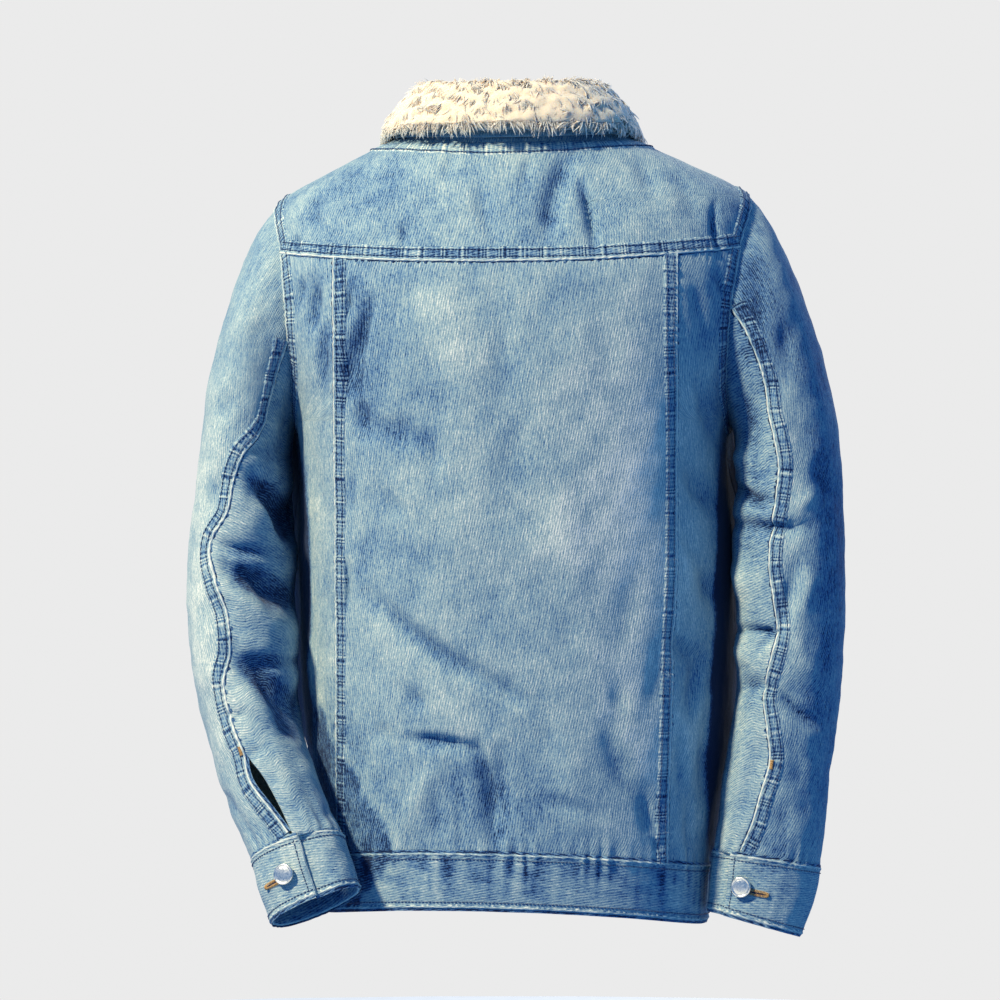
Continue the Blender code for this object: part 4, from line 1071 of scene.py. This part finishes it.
def back():
    """The centre panel, the two side panels and the yoke."""
    v = np.linspace(V_BAND, V_YOKE, 140)
    seams = (felled(JACKET, princess(v, "left"), v, (-1, 0, 0), FELLED, 3)
             + felled(JACKET, princess(v, "right"), v, (1, 0, 0), FELLED, 4))
    body_piece("back_centre_panel", V_BAND, V_YOKE, lambda v: princess(v, "right"),
               lambda v: princess(v, "left"), CELL, seams)
    body_piece("back_side_panel_left", V_BAND, V_YOKE, lambda v: princess(v, "left"),
               lambda v: side_u(v, 1), CELL, arm_seam("left", 3, 119, 5))
    body_piece("back_side_panel_right", V_BAND, V_YOKE, lambda v: -side_u(v, 1),
               lambda v: princess(v, "right"), CELL, arm_seam("right", 3, 119, 6))
    u = np.linspace(-side_u(np.array(V_YOKE), 1), side_u(np.array(V_YOKE), 1), 160)
    seams = felled(JACKET, u, np.full_like(u, V_YOKE), (0, 0, 1), FELLED, 7)
    seams += arm_seam("left", 121, 178, 8) + arm_seam("right", 121, 178, 9)
    seams += neck_seam(np.linspace(-0.25, 0.25, 160), 10)
    body_piece("back_yoke", V_YOKE, 1.0, lambda v: -side_u(v, 1), lambda v: side_u(v, 1), CELL,
               seams)


def fronts():
    """The two fronts, meeting under the placket strip."""
    half = PLACKET_HALF + 0.0005
    left = arm_seam("left", 182, 357, 11)
    right = arm_seam("right", 182, 357, 12)
    u = np.linspace(0.25, front_u(np.array(1.0), half), 90)
    left += neck_seam(u, 13)
    right += neck_seam(1 - u, 14)
    body_piece("front_left", V_BAND, 1.0, lambda v: side_u(v, -1), lambda v: 0.5 + 0 * v,
               FRONT_CELL, left)
    body_piece("front_right", V_BAND, 1.0, lambda v: 0.5 + 0 * v, lambda v: 1 - side_u(v, -1),
               FRONT_CELL, right)
    v = np.linspace(V_BAND + 0.006, 0.98, 120)
    stitches = [sewn(JACKET, front_u(v, x), v, 0.0, PLACKET_RISE)
                for x in (PLACKET_HALF - 0.004, -PLACKET_HALF + 0.004)]
    body_piece("front_placket", V_BAND, 0.985, lambda v: front_u(v, PLACKET_HALF),
               lambda v: front_u(v, -PLACKET_HALF), FRONT_CELL * 0.65, stitches, PLACKET_RISE,
               PLACKET_RISE - 0.0003, edge=1.0)


def waistband():
    """One strip round the hem; its left end laps over its right end at the front."""
    over, under = front_u(0.04, -PLACKET_HALF), -front_u(0.04, -PLACKET_HALF + 0.002)

    def lifted(u):
        return BAND_RISE + (UNDERLAP - BAND_RISE) * ease(-u, -under - 0.075, -under - 0.035)

    def form(u, v):
        p = body_ring(u, v)
        n = body_normal(u, v)
        h = body_folds(v, p, n) + body_puckers(u, v, p)
        return p + n * (h + lifted(u))[..., None]

    u, v = np.meshgrid(np.linspace(under, over, 330), np.linspace(0, V_BAND, 19))
    n = body_normal(u, v)
    outer = form(u, v)
    streaks = wobble(u * 1.05, 0.017, 24) * ease(v, 0, 0.3 * V_BAND)
    streaks = streaks + 0.6 * unevenness(outer, 0.02, 25)
    wear = body_wear_and_shade(u, v) + 0.25 + 0.5 * streaks
    band = Cloth(form, body_normal, body_ring, body_wear_and_shade)
    parts = []
    path = np.linspace(under + 0.006, over - 0.003, 500)
    for level, toward, seed in ((V_BAND - 0.001, -1, 21), (0.0015, 1, 22)):
        parts += turned_edge(band, path, np.full_like(path, level), (0, 0, toward), 0.0045, 0.0062,
                             seed)
    sewn_cloth("waistband", outer, outer - n * BAND_WALL, wear, parts, ["back_centre_panel"],
               across=True, edge=1.2)


# ---------------------------------------------------------------- sleeves
def sleeve_piece(arm, name, start, end, across, seams):
    """One piece of a sleeve between two angles given as functions of the station."""
    rows = np.linspace(0, CUFF_AT, round(0.53 / SLEEVE_CELL))
    cols = round(np.degrees((end(rows) - start(rows)).max()) * 0.00125 / SLEEVE_CELL)
    share = np.linspace(0, 1, cols + 1)
    theta = start(rows)[:, None] * (1 - share) + end(rows)[:, None] * share
    s = np.broadcast_to(rows[:, None], theta.shape)
    n = arm.normal(theta, s)
    outer = arm.form(theta, s)
    sewn_cloth(name, outer, outer - n * SLEEVE_WALL, arm.wear(theta, s), seams, ["back_yoke"],
               across=across, edge=0.5)


def tacks(cloth, a, b, long, rise):
    """A bar of dense tan stitches across the top of a slit, running down the cloth."""
    count = 13
    n = cloth.normal(a, b)
    up = unit(cloth.smooth(a, b) - cloth.smooth(a, b + 0.05))
    side = unit(np.cross(n, up))
    k = np.linspace(-0.5, 0.5, count)[:, None]
    centre = cloth.form(a, b) + n * rise + up * k * long
    wide = np.array([-0.0013, -0.0005, 0.0005, 0.0013])
    paths = centre[:, None] + side * wide[:, None] + n * np.array([-4, 4, 4, -4])[:, None] * 1e-4
    return tubes(paths, np.full(paths.shape[:2], STITCH_RADIUS), np.repeat(n, count, 0), TAN_SLOT,
                 tone=0.4 * DICE.normal(size=count))


def sleeves():
    """The top and under piece of each sleeve, parted at the slit above the cuff."""
    for side, front in (("left", 60), ("right", 45)):
        arm = ARMS[side]

        def edge(s, way):
            opened = np.degrees(arm.table.at("slit", s) / SLEEVE_RADIUS)
            return np.radians(arm.table.at("seam", s) + way * np.maximum(opened, 0))

        fore = math.radians(front)
        s = np.linspace(0.05, CUFF_AT - 0.15, 200)
        top = felled(arm, edge(s, 1), s, (arm.way, 0, 0), FELLED, 31 + front, pitch=0.0034)
        slit_top = np.array([15.05])
        top.append(tacks(arm, edge(slit_top, 1) + 0.05, slit_top, 0.007, 0.0014))
        under = felled(arm, 0 * s - fore, s, (arm.way, 0, 0), EDGE, 32 + front, (), 0.0034)
        sleeve_piece(arm, f"sleeve_{side}_top", lambda s: edge(s, 1),
                     lambda s: 2 * math.pi - fore + 0 * s, False, top)
        sleeve_piece(arm, f"sleeve_{side}_under", lambda s: -fore + 0 * s,
                     lambda s: edge(s, -1), True, under)


def buttonhole(cloth, a, b, long, rise):
    """A slot overcast with tan thread, lying along the first parameter."""
    count = 52
    n = cloth.normal(a, b)[0]
    run = unit(cloth.smooth(a + 0.01, b) - cloth.smooth(a - 0.01, b))[0]
    up = np.cross(n, run)
    turn = np.linspace(0, 2 * math.pi, count, endpoint=False)
    c, s = np.cos(turn), np.sin(turn)
    squeeze = (np.abs(c) ** 3 + np.abs(s) ** 3) ** (-1 / 3)
    middle = cloth.form(a, b)[0]
    ring = middle + n * rise + (run * (c * squeeze * long / 2)[:, None]
                                + up * (s * squeeze * 0.0014)[:, None])
    out = unit(run * (c * 0.3)[:, None] + up * s[:, None])
    reach = np.array([-0.001, -0.0003, 0.0006, 0.0012])
    lift = np.array([-3, 5, 5, -3]) * 1e-4
    paths = ring[:, None] + out[:, None] * reach[:, None] + n * lift[:, None]
    # Painted shade: a strip of near-black denim in the slot stands for the shade inside the cut.
    slot = (middle + n * (rise + 0.0002) + run * np.linspace(-0.46, 0.46, 8)[:, None, None] * long
            + up * np.array([-0.0005, 0.0005])[:, None])
    dark = strip(slot, np.full(slot.shape[:2], -3.0), np.broadcast_to(n, slot.shape))
    return [tubes(paths, np.full(paths.shape[:2], 0.0004), np.repeat(n[None], count, 0), TAN_SLOT,
                  tone=0.4 * DICE.normal(size=count)), dark]


def cuffs():
    """A strip round each wrist whose free end laps over the under end, with its button."""
    for side in ("left", "right"):
        arm, free = ARMS[side], CUFF_EDGE[side]

        def lifted(theta):
            dip = ease(np.degrees(theta), free + 325, free + 357)
            return BAND_RISE + (UNDERLAP - BAND_RISE) * dip

        def form(theta, s):
            return arm.form(theta, s) + arm.normal(theta, s) * lifted(theta)[..., None]

        theta, s = np.meshgrid(np.radians(np.linspace(free, free + 395, 96)),
                               np.linspace(CUFF_AT, CUFF_END, 19))
        n = arm.normal(theta, s)
        outer = form(theta, s)
        band = Cloth(form, arm.normal, arm.smooth, arm.wear)
        parts = []
        path = np.radians(np.linspace(free + 1, free + 362, 200))
        for at, toward, seed in ((CUFF_AT + 0.02, -1, 41), (CUFF_END - 0.03, 1, 42)):
            parts += turned_edge(band, path, np.full_like(path, at), (0, 0, toward), 0.0042, 0.006,
                                 seed)
        b = np.linspace(CUFF_AT + 0.1, CUFF_END - 0.1, 40)
        a = np.full_like(b, math.radians(free + 0.6))
        inward = arm.smooth(a[:1] + 0.1, b[:1])[0] - arm.smooth(a[:1], b[:1])[0]
        parts.append(sewn(band, a, b, toward_sign(arm.smooth, a, b, inward) * 0.004, 0.0002))
        middle = (CUFF_AT + CUFF_END) / 2
        place = math.radians(CUFF_BUTTON[side])
        hole = np.array([place + 0.30]), np.array([middle + 0.1])
        parts += buttonhole(band, *hole, 0.018, 0.0004)
        sewn_cloth(f"cuff_{side}", outer, outer - n * BAND_WALL, arm.wear(theta, s) + 0.2, parts,
                   [f"sleeve_{side}_top"], inside=SHADED_INSIDE_DENIM, across=True, edge=1.4)
        at = np.array([place]), np.array([middle])
        normal = arm.normal(*at)[0]
        button(f"cuff_button_{side}", form(*at)[0] + normal * 0.0002, normal)


# ---------------------------------------------------------------- collar
COLLAR_END = 0.488       # of the way round, from the middle of the back


def collar_grid(low, high, rows, cols):
    """Parameters over part of the collar's sheet."""
    return np.meshgrid(np.linspace(-COLLAR_END, COLLAR_END, cols), np.linspace(low, high, rows))


def pile_base(u, s):
    """Points of the sherpa's ground, lumpy under its curls."""
    n = collar_side(u, s)
    p = collar(u, s)
    lump = 0.0010 * unevenness(p, 0.016, 61) + 0.0004 * unevenness(p, 0.007, 62)
    return p + n * (FLEECE * 0.72 + lump)[..., None], n


def curls(name, low, high, count, seed):
    """Curled locks of pile that stand on the sherpa's ground and fall down the leaf.

    A share of them hangs over the lower edge as a fringe.
    """
    dice = np.random.default_rng(seed)
    u = dice.uniform(-0.486, 0.486, count)
    s = dice.uniform(low, high, count)
    fringe = np.arange(count) < 0.12 * count
    s = np.where(fringe, high - (high - low) * 0.05 * dice.uniform(0, 1, count), s)
    root, n = pile_base(u, s)
    down = unit(collar(u, s + 2e-3) - collar(u, s - 2e-3))
    down = unit(down + np.array([0, 0, -0.35]))
    down = unit(down - n * (down * n).sum(-1, keepdims=True))
    aside = np.cross(n, down)
    spin = dice.normal(0, 0.28, count) + 0.9 * unevenness(root, 0.03, seed + 2)
    lead = down * np.cos(spin)[:, None] + aside * np.sin(spin)[:, None]
    cross = np.cross(n, lead)
    first = np.radians(dice.uniform(4, 17, count) + 10 * unevenness(root, 0.016, seed + 3))
    bend = np.radians(dice.uniform(25, 75, count))
    twist = dice.normal(0, 0.55, count)
    long = dice.uniform(0.008, 0.013, count) * np.where(fringe, 1.08, 1)
    thickness = np.array([1.0, 1.15, 1.1, 0.8, 0.25])    # from root to tip
    knots, sides = len(thickness), 3
    paths = [root - n * 0.0012]
    for k in range(knots - 1):
        t = (k + 0.5) / (knots - 1)
        rise = first - bend * t
        turn = twist * t
        way = (lead * (np.cos(rise) * np.cos(turn))[:, None] + n * np.sin(rise)[:, None]
               + cross * (np.cos(rise) * np.sin(turn))[:, None])
        paths.append(paths[-1] + way * (long / (knots - 1))[:, None])
    paths = np.stack(paths, 1)
    radii = dice.uniform(0.0004, 0.00078, count)[:, None] * thickness
    # Painted light: the fringe is drawn lighter against the leaf's shadow on it.
    tone = dice.normal(0, 0.12, count) + 0.25 * unevenness(root, 0.02, seed + 1) + 0.6 * fringe
    verts, quads, grain, _, slots = tubes(paths, radii, n, 0, sides)
    # Painted shade: each lock is darker at its root, down in the pile, than at its tip.
    tips = np.tile(np.repeat(np.linspace(0.0, 0.5, knots), sides), count)
    wear = np.repeat(tone, knots * sides) + tips
    return piece(name, [(verts, quads, grain, wear, slots)], [PILE])


def collars():
    """The denim under collar and the sherpa leaf turned down over it."""
    u, s = collar_grid(0, 1, 32, 190)
    n = collar_side(u, s)
    inner = collar(u, s) - n * 0.00015
    low = inner - n * 0.0016
    # Painted light: the stand is drawn lighter to lift it out of the leaf's shadow.
    wear = 0.3 * unevenness(low, 0.02, 71) + 0.7
    sewn_cloth("under_collar", low, inner, wear, [], ["back_yoke"], held="folded", inside=DENIM,
               edge=1.2)
    u, s = collar_grid(0.01, 0.955, 40, 200)
    outer, n = pile_base(u, s)
    back_face = collar(u, s) + n * 0.0006
    wear = 0.4 * unevenness(outer, 0.012, 63)
    leaf_shell = shell(outer, back_face, wear, -0.4, inside=0)
    made = piece("collar_sherpa", [leaf_shell], [PILE],
                 replaced=["collar_sherpa"])
    leaf = curls("pile_leaf", 0.44, 0.968, 7700, 5)
    fold = curls("pile_stand", 0.02, 0.46, 3600, 6)
    flat, area = cut_of(outer)


# ---------------------------------------------------------------- buttons
BUTTON = np.array([  # radius and height in mm, face to foot
    (0.0, 5.15), (2.6, 5.1), (4.9, 4.95), (6.0, 4.7), (6.5, 4.55), (6.9, 4.75), (7.4, 5.05),
    (7.9, 5.0), (8.3, 4.6), (8.5, 4.0), (8.45, 3.4), (8.1, 2.9), (6.5, 2.6), (3.4, 2.4),
    (3.3, 0.0)])


def button(name, at, normal):
    """A turned metal button with a bare face, standing on the cloth."""
    steps = 40
    turn = np.arange(steps) * 2 * math.pi / steps
    verts, faces = [(0.0, 0.0, BUTTON[0, 1])], []
    for r, z in BUTTON[1:]:
        verts += [(r * math.cos(t), r * math.sin(t), z) for t in turn]
    for k in range(steps):
        j = (k + 1) % steps
        faces.append((0, 1 + k, 1 + j))
        for ring in range(len(BUTTON) - 2):
            a = 1 + ring * steps
            faces.append((a + k, a + steps + k, a + steps + j, a + j))
    mesh = bpy.data.meshes.new(name)
    mesh.from_pydata([tuple(0.001 * q for q in v) for v in verts], [], faces)
    mesh.materials.append(NICKEL)
    mesh.shade_smooth()
    mesh.set_sharp_from_angle(angle=SHARP)
    made = placed(name + "_turned", mesh)
    made.location = Vector(at)
    turned(made, Vector((0, 0, 1)).rotation_difference(Vector(normal)))
    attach(made, "root")
    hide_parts(name)


def front_buttons():
    """Five buttons down the placket and one on the waistband."""
    places = [(v, PLACKET_RISE + 0.0001) for v in PLACKET_BUTTONS] + [(BAND_BUTTON, BAND_RISE)]
    for k, (v, rise) in enumerate(places, 1):
        at = np.array([0.5]), np.array([v])
        normal = body_normal(*at)[0]
        button(f"front_button_{k}", body(*at)[0] + normal * (rise + 0.0001), normal)


# ---------------------------------------------------------------- stage, light and camera
FLOOR_Z, FLOOR_RADIUS = -1.05, 2.4
AIM = Vector((0, 0, -0.33))          # the middle of the jacket
AZIMUTH = math.radians(183)          # the photo's, from the front
DISTANCE = 3.0
FRAME_WIDTH = 0.84                   # of the picture, in metres at the jacket
SIGHT_X, SIGHT_Z = 0.010, -0.300     # where the picture's middle lies


def floor():
    """A plain pale floor well below the jacket."""
    turn = np.arange(64) * 2 * math.pi / 64
    mesh = bpy.data.meshes.new("floor")
    mesh.from_pydata([(FLOOR_RADIUS * math.cos(t), FLOOR_RADIUS * math.sin(t), FLOOR_Z)
                      for t in turn], [], [tuple(range(len(turn)))])
    graph = Graph("floor_pale")
    grit = graph.noise(graph.place(), 40, 3)
    graph.colour(grit, [(0.3, (0.78, 0.78, 0.78)), (0.7, (0.82, 0.82, 0.82))])
    mesh.materials.append(graph.surface({"Roughness": 0.9}))
    made = placed("floor", mesh)
    made.visible_diffuse = False


def lamp(name, way, distance, size, watts, colour):
    """A soft square light aimed at the middle of the jacket from one direction."""
    data = bpy.data.lights.new(name, "AREA")
    data.size, data.energy, data.color = size, watts, colour
    made = placed(name, data)
    way = Vector(way).normalized()
    made.location = AIM + way * distance
    turned(made, way.to_track_quat("Z", "Y"))


def light():
    """Warm light from the upper left of the back, in blue daylight, before a pale backdrop."""
    lamp("key", (0.60, 0.52, 0.70), 5.0, 0.45, 420, (1.0, 0.895, 0.61))
    lamp("front_fill", (-0.3, -0.9, 0.4), 3.0, 1.6, 40, (1.0, 0.94, 0.86))
    world = bpy.data.worlds.new("daylight")
    world.use_nodes = True
    tree = world.node_tree
    sky = tree.nodes["Background"]
    sky.inputs["Color"].default_value = (0.14, 0.43, 0.97, 1)
    sky.inputs["Strength"].default_value = 0.58
    seen = tree.nodes.new("ShaderNodeBackground")
    seen.inputs["Color"].default_value = (0.83, 0.83, 0.83, 1)
    rays = tree.nodes.new("ShaderNodeLightPath")
    mix = tree.nodes.new("ShaderNodeMixShader")
    tree.links.new(rays.outputs["Is Camera Ray"], mix.inputs[0])
    tree.links.new(sky.outputs[0], mix.inputs[1])
    tree.links.new(seen.outputs[0], mix.inputs[2])
    tree.links.new(mix.outputs[0], tree.nodes["World Output"].inputs["Surface"])
    bpy.context.scene.world = world


def camera():
    """The camera behind the jacket, level with its middle."""
    back_way = Vector((math.sin(AZIMUTH), -math.cos(AZIMUTH), 0))
    data = bpy.data.cameras.new("camera")
    data.sensor_width = 36
    data.lens = data.sensor_width * DISTANCE / FRAME_WIDTH
    made = placed("camera", data)
    seen = Vector((SIGHT_X / -math.cos(AZIMUTH), 0, SIGHT_Z))
    made.location = seen + back_way * DISTANCE
    turned(made, back_way.to_track_quat("Z", "Y"))
    bpy.context.scene.camera = made


bpy.context.scene.view_settings.view_transform = "Standard"
floor()
light()
camera()
back()
fronts()
waistband()
sleeves()
cuffs()
collars()
front_buttons()
